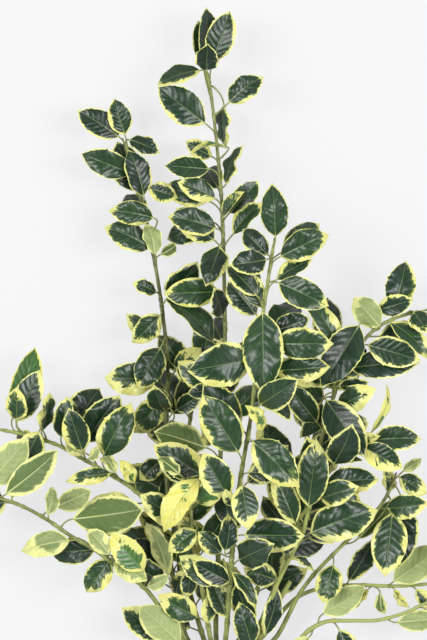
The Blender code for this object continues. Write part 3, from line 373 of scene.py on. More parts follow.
# The leaves further in, round the stems, in the same form but without a width and a fold,
# which they all share.
INNER_LEAVES = {
    "centre_tall": (
        (-12.7, 151.5, 46.5, -46.5, 178.6, 52, -14.5, 0.075, 0, "g"),
        (3.8, 173.6, 56.1, 30.2, 195.1, 79.6, -22.2, 0.063, 0, "b"),
        (-5.8, 199.5, 46.2, -18.2, 239.5, 11.6, 20.1, 0.05, 0, "P"),
        (-3.8, 256.3, 69.3, -15.2, 285.6, 110.7, 12.5, 0.038, 0, "p"),
        (7.4, 283.6, 56.9, 40.1, 314.4, 35.9, 4.8, 0.106, 0, "d"),
        (-7.7, 309.3, 62.7, -43.3, 340.3, 63.4, -2.9, 0.094, 6, "b"),
        (9.7, 333.5, 67.8, 39.4, 360.2, 88.4, -10.5, 0.081, 0, "p"),
        (0.3, 358.8, 53.4, -9.2, 384.8, 21.1, -18.2, 0.069, 0, "d"),
        (0.3, 384.2, 69.4, -9.4, 410.4, 98.3, 24.1, 0.057, 0, "d"),
        (9.8, 408.7, 54.1, 43, 440.9, 27.8, 16.5, 0.045, 0, "t"),
        (-7.7, 460.1, 55.9, -48.3, 490.7, 53.8, 8.8, 0.032, 6, "p"),
        (7.6, 487.7, 53.2, 37.2, 520.4, 56.1, 1.2, 0.1, 0, "d"),
        (-3.9, 512.8, 43.2, -16.5, 538, 6.6, -6.5, 0.088, 0, "d"),
    ),
    "left_tall": (
        (-52.5, 129.5, 28.5, -92.2, 157.7, 33, 17.2, 0.046, 0, "d"),
        (-48.2, 214.5, 43.6, -22.4, 245.1, 67.7, 9.5, 0.033, 0, "S"),
        (-58.9, 252.5, 31.7, -69.8, 281.6, 2, 1.9, 0.101, 0, "p"),
        (-58.4, 290, 46.9, -68.1, 315.9, 84.2, -19.8, 0.089, 0, "d"),
        (-47.4, 328, 36.6, -21.6, 353.1, 23.4, -13.5, 0.077, 0, "t"),
        (-66, 363.7, 42.1, -97.8, 384.9, 42.1, -21.1, 0.064, 0, "p"),
        (-54.6, 402.6, 47.1, -27.3, 437.8, 69.9, 21.2, 0.052, 0, "d"),
        (-80.2, 484.2, 31.1, -97.7, 509.4, 2, 13.5, 0.04, 0, "d"),
    ),
    "centre_front": (
        (-1.2, 116.3, 66.5, -43.1, 143.3, 70.8, -0.7, 0.097, 0, "s"),
        (16.9, 140.2, 82.8, 49.6, 157.7, 125.4, -8.4, 0.085, 6, "d"),
        (9.6, 172.6, 79.4, 1.7, 212.4, 61.1, -16, 0.073, 0, "d"),
        (11.9, 194.7, 103.8, 3, 212.9, 118.2, -23.7, 0.06, 0, "S"),
        (24.8, 217.8, 95.8, 66.4, 255.1, 79, 18.6, 0.048, 0, "s"),
        (17.9, 273.9, 110.4, -19.5, 315, 115.2, 11, 0.036, 0, "d"),
        (37.5, 296.4, 124.3, 75, 322.3, 156.8, 3.3, 0.104, 0, "d"),
        (31.1, 330.1, 106.3, 22.6, 364.5, 87.1, -4.4, 0.091, 12, "s"),
        (46.6, 374.7, 105.1, 78.7, 397.7, 77.4, -19.7, 0.067, 0, "d"),
        (34.3, 404.3, 109.8, 4.7, 435.3, 106.4, 22.7, 0.054, 0, "d"),
    ),
    "left_front": (
        (-63.7, 75.3, 41.2, -100.1, 78.7, 40.1, -23, 0.061, 0, "d"),
        (-215.8, 196.9, 72.4, -242.5, 194.1, 33.3, 11.7, 0.037, 6, "d"),
    ),
    "left_middle": (
        (-57.3, 112.7, 34.7, -97.6, 137.5, 40.4, 5.1, 0.106, 0, "d"),
        (-44.3, 134.1, 45.3, -19.3, 160.4, 67.5, -2.6, 0.094, 0, "S"),
        (-58, 150.6, 38.5, -74.7, 181.5, 18.5, -10.2, 0.082, 0, "b"),
        (-61.4, 191, 34.7, -49.4, 224.7, 20.1, 24.4, 0.057, 6, "d"),
        (-87.6, 194.8, 51.2, -138.2, 189, 53.2, 16.8, 0.045, 0, "S"),
        (-140, 248.3, 65, -152.6, 291, 85.1, -4.9, 0.033, 0, "p"),
        (-183.2, 256.6, 36.6, -210.7, 253.6, 2, 1.5, 0.101, 6, "d"),
    ),
    "centre_low": (
        (-24.4, 80.6, 46.8, -65.5, 101.9, 57.7, -1.8, 0.095, 0, "S"),
        (-23.8, 116, 51.4, -39.8, 150.4, 31.5, -17.2, 0.071, 0, "g"),
        (-20, 147, 72.7, 5.9, 192.4, 66.2, 17.5, 0.046, 0, "S"),
        (-39.7, 177.5, 81, -82.5, 204.5, 88.6, 9.8, 0.034, 0, "b"),
        (-24.5, 197.1, 88.8, 4.6, 225.6, 105.7, 2.2, 0.102, 0, "g"),
        (-36.1, 216.8, 73.8, -56.4, 243.5, 46.6, -5.5, 0.089, 0, "d"),
    ),
    "right_high": (
        (66.3, 167.8, 48, 41.7, 203.4, 54.8, -19.7, 0.067, 0, "d"),
        (86.7, 179.1, 57.5, 117.7, 191.5, 81.9, 22.6, 0.054, 0, "d"),
        (82.6, 202.5, 47.8, 80.9, 246.4, 24.9, 14.9, 0.042, 0, "S"),
        (91.3, 237.1, 71.8, 84.9, 264.5, 106, 7.3, 0.11, 0, "s"),
        (107.2, 259.5, 62.1, 146.2, 285.2, 44.3, -0.4, 0.098, 0, "d"),
        (95.1, 277.7, 72.3, 66.4, 315.3, 81.5, -8.1, 0.085, 0, "d"),
        (116, 291.8, 76.6, 150.6, 309, 99.8, -15.7, 0.073, 0, "S"),
        (111.4, 310.8, 61, 110.5, 341.3, 31.2, -23.4, 0.061, 0, "s"),
        (157.2, 363.6, 65.2, 203.1, 363.5, 37.2, 11.3, 0.036, 0, "d"),
        (173, 390.6, 66.5, 184.1, 440.5, 61.9, 3.6, 0.104, 0, "s"),
    ),
    "right_middle": (
        (31.1, 74, 41.5, 13.8, 115.5, 50.9, -18.7, 0.068, 0, "d"),
        (51.3, 110.8, 45.6, 50.7, 159.7, 20.3, -12, 0.044, 0, "s"),
        (67.6, 146.4, 77.2, 63.5, 168.6, 102.2, 8.3, 0.032, 0, "d"),
        (86.5, 161.7, 73.4, 133.5, 181.6, 71.7, 0.7, 0.099, 0, "d"),
        (76.1, 185.1, 80.7, 46.1, 224.2, 78.5, -7, 0.087, 0, "b"),
        (98.3, 201.5, 91.1, 134.7, 214.8, 118.1, -14.7, 0.075, 0, "s"),
        (96.2, 220.4, 79, 111.8, 250.4, 59.7, -22.3, 0.062, 0, "d"),
        (110.9, 236.8, 98.3, 128.8, 274.9, 139.4, 20, 0.05, 6, "d"),
    ),
    "right_dark": (
        (128.4, 173.1, 57.4, 122.8, 220.4, 61.5, 13.1, 0.039, 0, "b"),
        (165.8, 190.9, 62.6, 206.4, 196.9, 82.5, 5.4, 0.107, 0, "s"),
    ),
    "right_low": (
        (227.1, 125.6, 48, 247.7, 162, 48, 6.5, 0.109, 6, "p"),
        (228.1, 119.5, 23.4, 249.9, 132.2, -4, -8.8, 0.084, 12, "t"),
    ),
    "right_lowest": (
        (227.9, 114.8, 57.7, 238.2, 153.3, 55.7, 7.6, 0.03, 0, "d"),
        (234.8, 100, 63, 267.4, 87.9, 78.5, -0.1, 0.098, 6, "d"),
    ),
    "left_back": (
        (-31.7, 66.8, 9, -72.6, 81.4, 6.4, 24, 0.057, 0, "P"),
        (-23, 96.2, 16.8, 3.2, 137.9, 36.6, 16.3, 0.044, 0, "b"),
        (-42.2, 133.8, 6, -63.1, 166.7, 2, 8.6, 0.032, 0, "y"),
        (-37.4, 175.5, 11.1, -8.5, 210, 2, -6.7, 0.088, 0, "P"),
        (-52.7, 196.6, 14.2, -88.7, 227.4, 5.2, -14.4, 0.075, 0, "b"),
        (-34.3, 217.2, 26.1, -3.4, 241.7, 47.4, -22, 0.063, 0, "y"),
        (-41.2, 241.2, 9.6, -50.4, 280, 2, 20.3, 0.051, 0, "b"),
        (-33.5, 286.2, 26.6, -40.5, 323.5, 63.3, 12.7, 0.038, 6, "s"),
        (-20.1, 302.9, 12.4, 19.7, 328.6, 2, 5, 0.106, 0, "d"),
        (-32, 326.2, 17.2, -64.9, 365.4, 16.3, -2.7, 0.094, 0, "d"),
    ),
    "right_back": (
        (21.4, 89.9, 10.2, -7, 136.7, 12.9, 2.1, 0.101, 0, "s"),
        (44.2, 107.6, 14.7, 85, 126.2, 36.4, -5.6, 0.089, 0, "d"),
        (40.9, 129.4, 5.3, 40.1, 165.1, 2, -13.3, 0.077, 0, "d"),
        (65.9, 168.1, 11.6, 116.2, 192.2, 2, 21.4, 0.052, 0, "P"),
        (67.8, 225.5, 19.4, 34.9, 274.3, 20.8, 13.7, 0.04, 0, "p"),
        (89.7, 243.3, 25.2, 133.3, 266.7, 51.9, 6.1, 0.108, 0, "d"),
        (85.5, 268.8, 11.6, 80.5, 304.5, 2, -1.6, 0.096, 0, "t"),
        (90.7, 291.2, 28.8, 85.9, 324.9, 66.7, -9.3, 0.083, 0, "P"),
        (105.8, 311.4, 14.7, 142.4, 333.5, 2, -16.9, 0.071, 0, "p"),
        (95, 331.8, 22.6, 68.7, 369.1, 22, -24.6, 0.059, 6, "d"),
    ),
}

# How much leaves that lie close to others still curl and twist, where 1 is as much as the
# rest, and those leaves by their places in both tables.
CALM_LEAVES = {
    "centre_tall": {
        0: (1, 17, 27, 36), 0.1: (0, 3, 8, 11), 0.5: (2, 4, 6, 10, 14, 16, 18, 19, 21, 30),
    },
    "left_tall": {0: (15, 17, 23), 0.1: (14, 20), 0.5: (0, 1, 2, 7, 24)},
    "centre_front": {0: (19, 32), 0.1: (4, 13, 18, 28, 30, 31, 34), 0.5: (7, 10, 11, 23, 37)},
    "left_front": {0: (0, 7), 0.1: (3, 11), 0.5: (4, 5, 10, 12, 17)},
    "left_middle": {0: (4, 6), 0.1: (21,), 0.5: (1, 9, 11, 22, 24)},
    "centre_low": {0.1: (8, 11), 0.5: (3, 5, 6, 10)},
    "right_high": {0: (15,), 0.1: (1, 2), 0.5: (0, 3, 4, 5, 6, 7, 9, 17, 19)},
    "right_middle": {0: (6, 13, 16, 17), 0.1: (2, 10, 14), 0.5: (0, 4, 9, 18, 20)},
    "right_dark": {0.5: (0, 1, 9)},
    "right_lowest": {0.5: (2, 3)},
    "left_back": {0: (9, 11), 0.1: (0,), 0.5: (1, 5, 13)},
    "right_back": {0.1: (4, 9), 0.5: (5, 6, 15)},
}

# The markings of a leaf: the cream margin's width to the left and to the right of the midrib
# and at the point, all in millimetres, how far the green is lit up, from 0, dark, to 1, and
# how much of a yellowed leaf it is.
MARKINGS = {
    "d": (1.7, 1.7, 3.5, 0.0, 0.0),
    "h": (3.2, 2.4, 5.0, 0.14, 0.0),
    "p": (4.6, 1.3, 6.0, 0.05, 0.1),
    "P": (7.0, 1.8, 8.0, 0.1, 0.2),
    "s": (1.3, 4.6, 6.0, 0.05, 0.1),
    "S": (1.8, 7.0, 8.0, 0.1, 0.2),
    "b": (4.0, 4.0, 7.0, 0.1, 0.2),
    "t": (2.0, 2.0, 13.0, 0.1, 0.2),
    "g": (2.6, 2.6, 5.0, 0.75, 0.3),
    "o": (1.8, 1.8, 3.0, 0.5, 0.6),
    "y": (6.0, 7.5, 11.0, 0.8, 0.5),
    "w": (45.0, 45.0, 90.0, 0.9, 0.6),
}


# ---- Settings ------------------------------------------------------------------------------

def length_setting(name, description, default, low, high):
    """A length in metres, shown in the scene's units."""
    return FloatProperty(name=name, description=description, default=default, min=low,
                         max=high, unit="LENGTH", subtype="DISTANCE", precision=5)


def share_setting(name, description, default, high=1.0):
    return FloatProperty(name=name, description=description, default=default, min=0.0,
                         max=high, subtype="FACTOR")


def colour_setting(name, description, default):
    return FloatVectorProperty(name=name, description=description, default=default, size=3,
                               min=0.0, max=1.0, subtype="COLOR")


class HollyLeafSettings(bpy.types.PropertyGroup):
    """Sizes and colours of the leaves."""

    thickness: length_setting("Blade thickness", "Thickness of a blade beside its midrib",
                              0.0008, 0.0002, 0.003)
    rib: length_setting("Midrib radius", "Radius of the midrib where it leaves the stalk",
                        0.0008, 0.0002, 0.002)
    stalk: length_setting("Stalk radius", "Radius of a leaf stalk", 0.0008, 0.0003, 0.002)
    fullness: share_setting("Fullness", "Widest part of a blade against its CAD width",
                            1.09, 1.5)
    spines: share_setting("Spines", "Reach of the marginal spines, as a share of half a blade",
                          0.12, 0.5)
    waves: share_setting("Waves", "Height of the margin's waves, as a share of half a blade",
                         0.20, 0.5)
    quilting: length_setting("Quilting", "Height of the blade's swelling between side veins",
                             0.00045, 0.0, 0.002)
    curl: share_setting("Curl", "How far the point turns down, as a share of the length",
                        0.11, 0.5)
    vein_pairs: IntProperty(name="Vein pairs", description="Side veins on each half blade",
                            default=8, min=3, max=14)
    margin_share: share_setting("Margin width", "Multiplies the width of the cream margins",
                                0.78, 3.0)
    deep_green: colour_setting("Deep green", "Upper side of the darkest leaves",
                               (0.0040, 0.0205, 0.0092))
    fresh_green: colour_setting("Fresh green", "Upper side of the lightest leaves",
                                (0.075, 0.185, 0.042))
    grey_green: colour_setting("Grey green", "Flecks between the green and the margin",
                               (0.150, 0.220, 0.060))
    cream: colour_setting("Cream", "Pale parts of the margin", (0.665, 0.678, 0.265))
    gold: colour_setting("Gold", "Strong yellow parts of the margin", (0.650, 0.612, 0.115))
    midrib: colour_setting("Midrib", "Line of the midrib on the upper side",
                           (0.190, 0.270, 0.085))
    sage: colour_setting("Sage", "Underside of the leaves", (0.375, 0.450, 0.180))
    rib_pale: colour_setting("Underside midrib", "Raised midrib of the underside",
                             (0.460, 0.520, 0.230))
    sage_rib: colour_setting("Underside flush", "Greener streaks along the underside's midrib",
                             (0.100, 0.155, 0.042))


class HollyStemSettings(bpy.types.PropertyGroup):
    """Sizes and colours of the stems."""

    step: length_setting("Step", "Distance between a stem's sections", 0.0036, 0.001, 0.02)
    node_swelling: share_setting("Node swelling", "Thickening where a leaf stands", 0.30)
    ridges: length_setting("Ridges", "Height of the bark's lengthwise ridges",
                           0.00016, 0.0, 0.001)
    bud: length_setting("Bud length", "Length of a bud beside a stalk", 0.0028, 0.001, 0.01)
    sides: IntProperty(name="Sides", description="Corners round a stem", default=14, min=6,
                       max=32)
    bark_green: colour_setting("Bark green", "Young bark", (0.340, 0.390, 0.110))
    bark_olive: colour_setting("Bark olive", "Shaded and older bark", (0.088, 0.096, 0.030))
    lenticel: colour_setting("Lenticel", "Small marks on the bark", (0.330, 0.310, 0.160))
    bud_brown: colour_setting("Bud", "Scales of the buds", (0.060, 0.048, 0.022))
    cut_wood: colour_setting("Cut wood", "Wood of the cut ends", (0.720, 0.640, 0.430))


class HollyTieSettings(bpy.types.PropertyGroup):
    """Sizes and colours of the raffia tie."""

    strand: length_setting("Strand width", "Width of a strand of raffia",
                           0.0027, 0.001, 0.006)
    strand_thickness: length_setting("Strand thickness", "Thickness of a strand of raffia",
                                     0.0007, 0.0002, 0.002)
    turns: IntProperty(name="Turns", description="Turns round the stems", default=6, min=2,
                       max=12)
    raffia_pale: colour_setting("Pale raffia", "Pale fibres", (0.640, 0.480, 0.260))
    # This brown is partly browner raffia in random patches and partly painted shade in the
    # strands' grooves.
    raffia_brown_and_shade: colour_setting("Brown raffia", "Fibres in the grooves",
                                 (0.330, 0.210, 0.090))


class HollyStageSettings(bpy.types.PropertyGroup):
    """The floor, the lights and the camera."""

    camera_height: length_setting("Camera height", "Height of the camera over the sprigs",
                                  4.0, 1.0, 20.0)
    view_height: length_setting("View height", "Height of the view at the sprigs",
                                0.64, 0.2, 2.0)
    soft_light: FloatProperty(name="Side lights", description="Power of each side light",
                              default=92.0, min=0.0, unit="POWER")
    fill_light: share_setting("Fill", "Strength of the light from all round", 0.74, 4.0)
    floor_colour: colour_setting("Floor", "Colour of the floor", (0.300, 0.300, 0.303))


# ---- Node trees ----------------------------------------------------------------------------

class Wire:
    """A number or a vector inside a node tree, which can be reckoned with."""

    def __init__(self, tree, socket):
        self.tree = tree
        self.socket = socket

    def node(self, kind, operation, *values):
        node = self.tree.nodes.new(kind)
        node.operation = operation
        sockets = [socket for socket in node.inputs if socket.enabled]
        for socket, value in zip(sockets, values):
            plug(self.tree, value, socket)
        return Wire(self.tree, next(socket for socket in node.outputs if socket.enabled))

    def math(self, operation, *values):
        return self.node("ShaderNodeMath", operation, self, *values)

    def vector(self, operation, *values):
        return self.node("ShaderNodeVectorMath", operation, self, *values)

    def __add__(self, other):
        return self.math("ADD", other)

    def __sub__(self, other):
        return self.math("SUBTRACT", other)

    def __rsub__(self, other):
        return self.node("ShaderNodeMath", "SUBTRACT", other, self)

    def __mul__(self, other):
        return self.math("MULTIPLY", other)

    def __truediv__(self, other):
        return self.math("DIVIDE", other)

    def __pow__(self, other):
        return self.math("POWER", other)

    def __abs__(self):
        return self.math("ABSOLUTE")

    __radd__ = __add__
    __rmul__ = __mul__

    def scaled(self, number):
        """The vector, multiplied by a number."""
        node = self.tree.nodes.new("ShaderNodeVectorMath")
        node.operation = "SCALE"
        fill(self.tree, node, Vector=self, Scale=number)
        return Wire(self.tree, node.outputs["Vector"])

    def moved(self, *steps):
        """The vector, with other vectors added that are each multiplied by a number."""
        place = self
        for arrow, number in steps:
            place = place.vector("ADD", arrow.scaled(number))
        return place

    def part(self, axis):
        """The X, Y or Z part of a vector."""
        node = self.tree.nodes.new("ShaderNodeSeparateXYZ")
        plug(self.tree, self, node.inputs[0])
        return Wire(self.tree, node.outputs[axis])

    def at_least(self, number):
        return self.math("MAXIMUM", number)

    def at_most(self, number):
        return self.math("MINIMUM", number)

    def fall(self, low, high):
        """From 1 to 0 as this goes from LOW to HIGH."""
        return self.ramp(low, high, 1.0, 0.0)

    def ramp(self, low, high, first=0.0, last=1.0):
        """From FIRST to LAST as this goes from LOW to HIGH, softly and no further."""
        node = self.tree.nodes.new("ShaderNodeMapRange")
        node.interpolation_type = "SMOOTHSTEP"
        for socket, value in zip(node.inputs, (self, low, high, first, last)):
            plug(self.tree, value, socket)
        return Wire(self.tree, node.outputs["Result"])


def plug(tree, value, socket):
    """Links a wire to a socket, or sets the socket to a plain value."""
    if isinstance(value, Wire):
        tree.links.new(value.socket, socket)
    else:
        socket.default_value = value


def fill(tree, node, **values):
    """Plugs values into a node's sockets by their names, with _ for a space."""
    for title, value in values.items():
        plug(tree, value, node.inputs[title.replace("_", " ")])
    return node


def vector_of(tree, x, y, z):
    node = tree.nodes.new("ShaderNodeCombineXYZ")
    for socket, value in zip(node.inputs, (x, y, z)):
        plug(tree, value, socket)
    return Wire(tree, node.outputs[0])


def noise(tree, place, scale=1.0, detail=2.0, roughness=0.5):
    """Noise from 0 to 1 at a place given as a vector."""
    node = tree.nodes.new("ShaderNodeTexNoise")
    fill(tree, node, Vector=place, Scale=scale, Detail=detail, Roughness=roughness)
    return Wire(tree, node.outputs["Fac"])


def mixed(tree, factor, first, second):
    """One colour turning into another. Each is a wire or three numbers."""
    node = tree.nodes.new("ShaderNodeMix")
    node.data_type = "RGBA"
    plug(tree, factor, node.inputs[0])
    for number, colour in ((6, first), (7, second)):  # the node's two sockets for colours
        plug(tree, colour if isinstance(colour, Wire) else opaque(colour), node.inputs[number])
    return Wire(tree, node.outputs[2])


def opaque(colour):
    return (*colour, 1.0)


def dimmed(colour, part):
    return tuple(channel * part for channel in colour)


def linked(name, data):
    """An object in the scene."""
    found = bpy.data.objects.new(name, data)
    bpy.context.scene.collection.objects.link(found)
    return found


SHARP = math.radians(70)  # between two faces, from which their edge isn't shaded over


class Growth:
    """A Geometry Nodes tree that is being built."""

    def __init__(self, name, values):
        self.tree = bpy.data.node_groups.new(name, "GeometryNodeTree")
        face = self.tree.interface
        face.new_socket("Geometry", in_out="INPUT", socket_type="NodeSocketGeometry")
        face.new_socket("Geometry", in_out="OUTPUT", socket_type="NodeSocketGeometry")
        for title, value in values.items():
            kind = {float: "Float", int: "Int"}.get(type(value), "Material")
            face.new_socket(title, in_out="INPUT", socket_type="NodeSocket" + kind)
        self.source = self.tree.nodes.new("NodeGroupInput")

    def given(self, title):
        """The wire of one of the tree's inputs."""
        return Wire(self.tree, self.source.outputs[title])

    def add(self, kind, output=0, **sockets):
        """Adds a node, fills its sockets by name, and gives one of its outputs."""
        node = fill(self.tree, self.tree.nodes.new(kind), **sockets)
        return Wire(self.tree, node.outputs[output])

    def read(self, name, kind="FLOAT"):
        """A named attribute."""
        node = self.tree.nodes.new("GeometryNodeInputNamedAttribute")
        node.data_type = kind
        node.inputs["Name"].default_value = name
        return Wire(self.tree, node.outputs["Attribute"])

    def store(self, geometry, name, value, kind="FLOAT"):
        node = self.tree.nodes.new("GeometryNodeStoreNamedAttribute")
        node.data_type = kind
        node.inputs["Name"].default_value = name
        fill(self.tree, node, Geometry=geometry, Value=value)
        return Wire(self.tree, node.outputs["Geometry"])

    def store_arrow(self, geometry, name, value):
        return self.store(geometry, name, value, "FLOAT_VECTOR")

    def arrow(self, name):
        """A named attribute that is a vector."""
        return self.read(name, "FLOAT_VECTOR")

    def finished(self, geometry, title, **more):
        """The geometry with the material of one of the tree's inputs."""
        return self.add("GeometryNodeSetMaterial", Geometry=geometry,
                        Material=self.given(title), **more)

    def planted(self, instance, **more):
        """A copy of a geometry on each point of the tree's input, as plain mesh."""
        copies = self.add("GeometryNodeInstanceOnPoints", Points=self.given("Geometry"),
                          Instance=instance, **more)
        return self.add("GeometryNodeRealizeInstances", Geometry=copies)

    def negated(self, test):
        wire = self.add("FunctionNodeBooleanMath", Boolean=test)
        wire.socket.node.operation = "NOT"
        return wire

    def either(self, test, when_true, when_false):
        """One of two numbers."""
        node = self.tree.nodes.new("GeometryNodeSwitch")
        node.input_type = "FLOAT"
        fill(self.tree, node, **{"Switch": test, "False": when_false, "True": when_true})
        return Wire(self.tree, node.outputs[0])

    def compare(self, first, second):
        """Whether one number is greater than another."""
        node = self.tree.nodes.new("FunctionNodeCompare")
        node.data_type = "FLOAT"
        node.operation = "GREATER_THAN"
        for socket, value in zip(node.inputs, (first, second)):
            plug(self.tree, value, socket)
        return Wire(self.tree, node.outputs[0])

    def join(self, *parts):
        node = self.tree.nodes.new("GeometryNodeJoinGeometry")
        for part in reversed(parts):
            self.tree.links.new(part.socket, node.inputs[0])
        return Wire(self.tree, node.outputs[0])

    def profile(self, value, points):
        """A curve drawn through the points, read at a value from 0 to 1."""
        node = self.tree.nodes.new("ShaderNodeFloatCurve")
        curve = node.mapping.curves[0]
        for number, point in enumerate(points):
            if number < 2:
                curve.points[number].location = point
            else:
                curve.points.new(*point)
        node.mapping.update()
        plug(self.tree, value, node.inputs["Value"])
        return Wire(self.tree, node.outputs[0])

    def grid(self, across, along):
        """A sheet that carries its own places: from -1 to 1 across and 0 to 1 along."""
        node = self.tree.nodes.new("GeometryNodeMeshGrid")
        fill(self.tree, node, Size_X=2.0, Size_Y=1.0, Vertices_X=across, Vertices_Y=along)
        place = self.add("GeometryNodeInputPosition")
        sheet = self.store(Wire(self.tree, node.outputs["Mesh"]), "across", place.part("X"))
        return self.store(sheet, "along", place.part("Y") + 0.5)

    def crisp(self, geometry):
        """Keeps the shading apart on both sides of sharp edges."""
        node = self.tree.nodes.new("GeometryNodeSetShadeSmooth")
        node.domain = "EDGE"
        angle = self.add("GeometryNodeInputMeshEdgeAngle")
        fill(self.tree, node, Geometry=geometry, Selection=self.compare(angle, SHARP),
             Shade_Smooth=False)
        return Wire(self.tree, node.outputs[0])

    def measured_line(self):
        """The lines of the tree's input as curves that carry their length so far."""
        line = self.add("GeometryNodeMeshToCurve", Mesh=self.given("Geometry"))
        return self.store(line, "run", self.add("GeometryNodeSplineParameter", 1))

    def ring(self, corners):
        """A circle of radius 1 that carries its own places."""
        circle = self.add("GeometryNodeCurvePrimitiveCircle", Resolution=corners, Radius=1.0)
        return self.store_arrow(circle, "ring", self.add("GeometryNodeInputPosition"))

    def settled(self, geometry, place):
        """The geometry with its points at their places."""
        return self.add("GeometryNodeSetPosition", Geometry=geometry, Position=place)

    def roughened(self, geometry, height):
        """The geometry with its points moved outwards."""
        outwards = self.add("GeometryNodeInputNormal")
        return self.add("GeometryNodeSetPosition", Geometry=geometry,
                        Offset=outwards.scaled(height))

    def end(self, geometry):
        node = self.tree.nodes.new("NodeGroupOutput")
        self.tree.links.new(geometry.socket, node.inputs[0])
        return self.tree


def grown(name, source, tree, values, attributes_kept):
    """A plain mesh object that a tree makes from a source mesh."""
    seedling = linked(name + "_source", source)
    modifier = seedling.modifiers.new("growth", "NODES")
    modifier.node_group = tree
    for item in tree.interface.items_tree:
        if item.in_out == "INPUT" and item.name in values:
            modifier[item.identifier] = values[item.name]
    bpy.context.view_layer.update()
    graph = bpy.context.evaluated_depsgraph_get()
    mesh = bpy.data.meshes.new_from_object(seedling.evaluated_get(graph))
    seedling.modifiers.remove(modifier)
    bpy.data.objects.remove(seedling)
    bpy.data.meshes.remove(source)
    if not mesh.polygons:
        raise RuntimeError(f"{name} came out empty")
    wanted = set(attributes_kept) | {"position", "sharp_face", "sharp_edge", "material_index"}
    for title in [attribute.name for attribute in mesh.attributes]:
        if title not in wanted and not title.startswith("."):
            mesh.attributes.remove(mesh.attributes[title])
    mesh.name = name
    return linked(name, mesh)


def marked_mesh(name, points, edges, marks):
    """A mesh of loose points and edges, with values written on the points."""
    mesh = bpy.data.meshes.new(name)
    mesh.from_pydata(points, edges, [])
    for title, values in marks.items():
        if isinstance(values[0], Vector):
            attribute = mesh.attributes.new(title, "FLOAT_VECTOR", "POINT")
            attribute.data.foreach_set("vector", [part for value in values for part in value])
        else:
            attribute = mesh.attributes.new(title, "FLOAT", "POINT")
            attribute.data.foreach_set("value", values)
    return mesh


# ---- Where the stems and leaves are ---------------------------------------------------------

def tie_middle():
    """The middle of the tie on the surface, which the tables are measured from."""
    low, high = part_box("raffia_tie")
    return Vector(((low.x + high.x) / 2, (low.y + high.y) / 2, low.z - SURFACE * MM))


NECK = tie_middle()


def placed(point):
    """A table's point in metres, where the CAD model has it."""
    return Vector(point) * MM + NECK


def share(*numbers):
    """An even-handed value from 0 to 1 that depends only on the numbers given."""
    total = sum(number * GOLDEN * (place + 1.37) for place, number in enumerate(numbers))
    return total % 1.0


def between(limits, part):
    return limits[0] + (limits[1] - limits[0]) * part


def smooth(route, step):
    """Points about STEP apart on one smooth curve through the route."""
    knots = [Vector(point) for point in route]
    spans = [(b - a).length for a, b in zip(knots, knots[1:])]
    grades = [(b - a) / span for a, b, span in zip(knots, knots[1:], spans)]
    slopes = [grades[0]]
    for index in range(1, len(grades)):
        near, far = spans[index - 1], spans[index]
        slopes.append((grades[index - 1] * far + grades[index] * near) / (near + far))
    slopes.append(grades[-1])
    points = []
    for index, span in enumerate(spans):
        count = max(1, round(span / step))
        for number in range(count):
            t = number / count
            points.append(
                knots[index] * (2 * t**3 - 3 * t**2 + 1)
                + slopes[index] * span * (t**3 - 2 * t**2 + t)
                + knots[index + 1] * (3 * t**2 - 2 * t**3)
                + slopes[index + 1] * span * (t**3 - t**2)
            )
    points.append(knots[-1])
    return points


def stem_line(name, step):
    """(point, radius) along a stem, from its cut end to its tip, in millimetres."""
    (column, row), tip, route = STEMS[name]
    x, z = column * STEM_PITCH, FIRST_ROW + row * STEM_ROW
    cut = (x * FLARE, CUT_END + CUT_SPREAD * share(column * 2, row),
           CUT_HEIGHT + (z - FIRST_ROW) * CUT_LIFT)
    points = smooth([cut] + [(x, y, z) for y in STRAIGHT] + list(route), step)
    last = len(points) - 1
    tie = next(index for index, point in enumerate(points) if point.y >= STRAIGHT[-1])
    return [(point, between((STEM_BUTT, tip), max(0, index - tie) / (last - tie)))
            for index, point in enumerate(points)]


def stalk_places(name):
    """The places along a stem that its leaves may start from."""
    line = stem_line(name, STEM_STEP)
    found = []
    for (start, thick), (end, thin) in zip(line, line[1:]):
        for part in range(FACET_PARTS):
            t = (part + 0.5) / FACET_PARTS
            found.append((start.lerp(end, t), thick + (thin - thick) * t))
    return found


def run_at(line, index):
    ahead = min(index + 1, len(line) - 1)
    return (line[ahead][0] - line[index - 1][0]).normalized()


def stalk_foot(line, foot, along, slide):
    """The stem's middle, radius and run where the stalk of a leaf leaves it."""
    last = len(line) - 1
    near = min(range(1, last + 1), key=lambda index: (line[index][0] - foot).length)
    back = min(BACK_OFF[0] * (line[near][0] - foot).length, BACK_OFF[1]) + slide
    step, end = (1, last) if along.dot(run_at(line, near)) < HANGS_BACK else (-1, 1)
    index = near
    while index != end and (line[near][0] - line[index][0]).length < back:
        index += step
    return line[index][0], line[index][1], run_at(line, index)


class LaidLeaf:
    """One leaf of the table, with the directions that its blade and stalk follow."""

    def __init__(self, line, row, seed, is_inner, liveliness):
        foot, point = Vector(row[:3]), Vector(row[3:6])
        roll, width, arch, fold, slide, marking = row[6:]
        self.along = (point - foot).normalized()
        turn = Quaternion(self.along, math.radians(roll))
        self.side = turn @ UP.cross(self.along).normalized()
        self.up = self.along.cross(self.side)
        middle, radius, grain = stalk_foot(line, foot, self.along, slide)
        out = foot - middle
        out = (out - grain * out.dot(grain)).normalized()
        start = middle + out * radius * STALK_ROOT
        bend = foot - self.along * STALK_BEND * (foot - start).length
        plane = (bend - start).cross(foot - bend)
        self.plane = plane.normalized() if plane.length > FLAT_BEND else self.side
        self.foot, self.start, self.bend = placed(foot), placed(start), placed(bend)
        self.node, self.out, self.grain = placed(middle), out, grain
        self.radius = radius * MM
        self.length = (point - foot).length * MM
        self.half = width * self.length / 2
        self.rise = arch * self.length
        self.fold = math.radians(fold)
        self.seed = seed
        self.is_inner = is_inner
        self.liveliness = liveliness
        self.marking = MARKINGS[marking]

    def chance(self, draw):
        """An even-handed value from 0 to 1 that is this leaf's own."""
        return share(self.seed, draw)


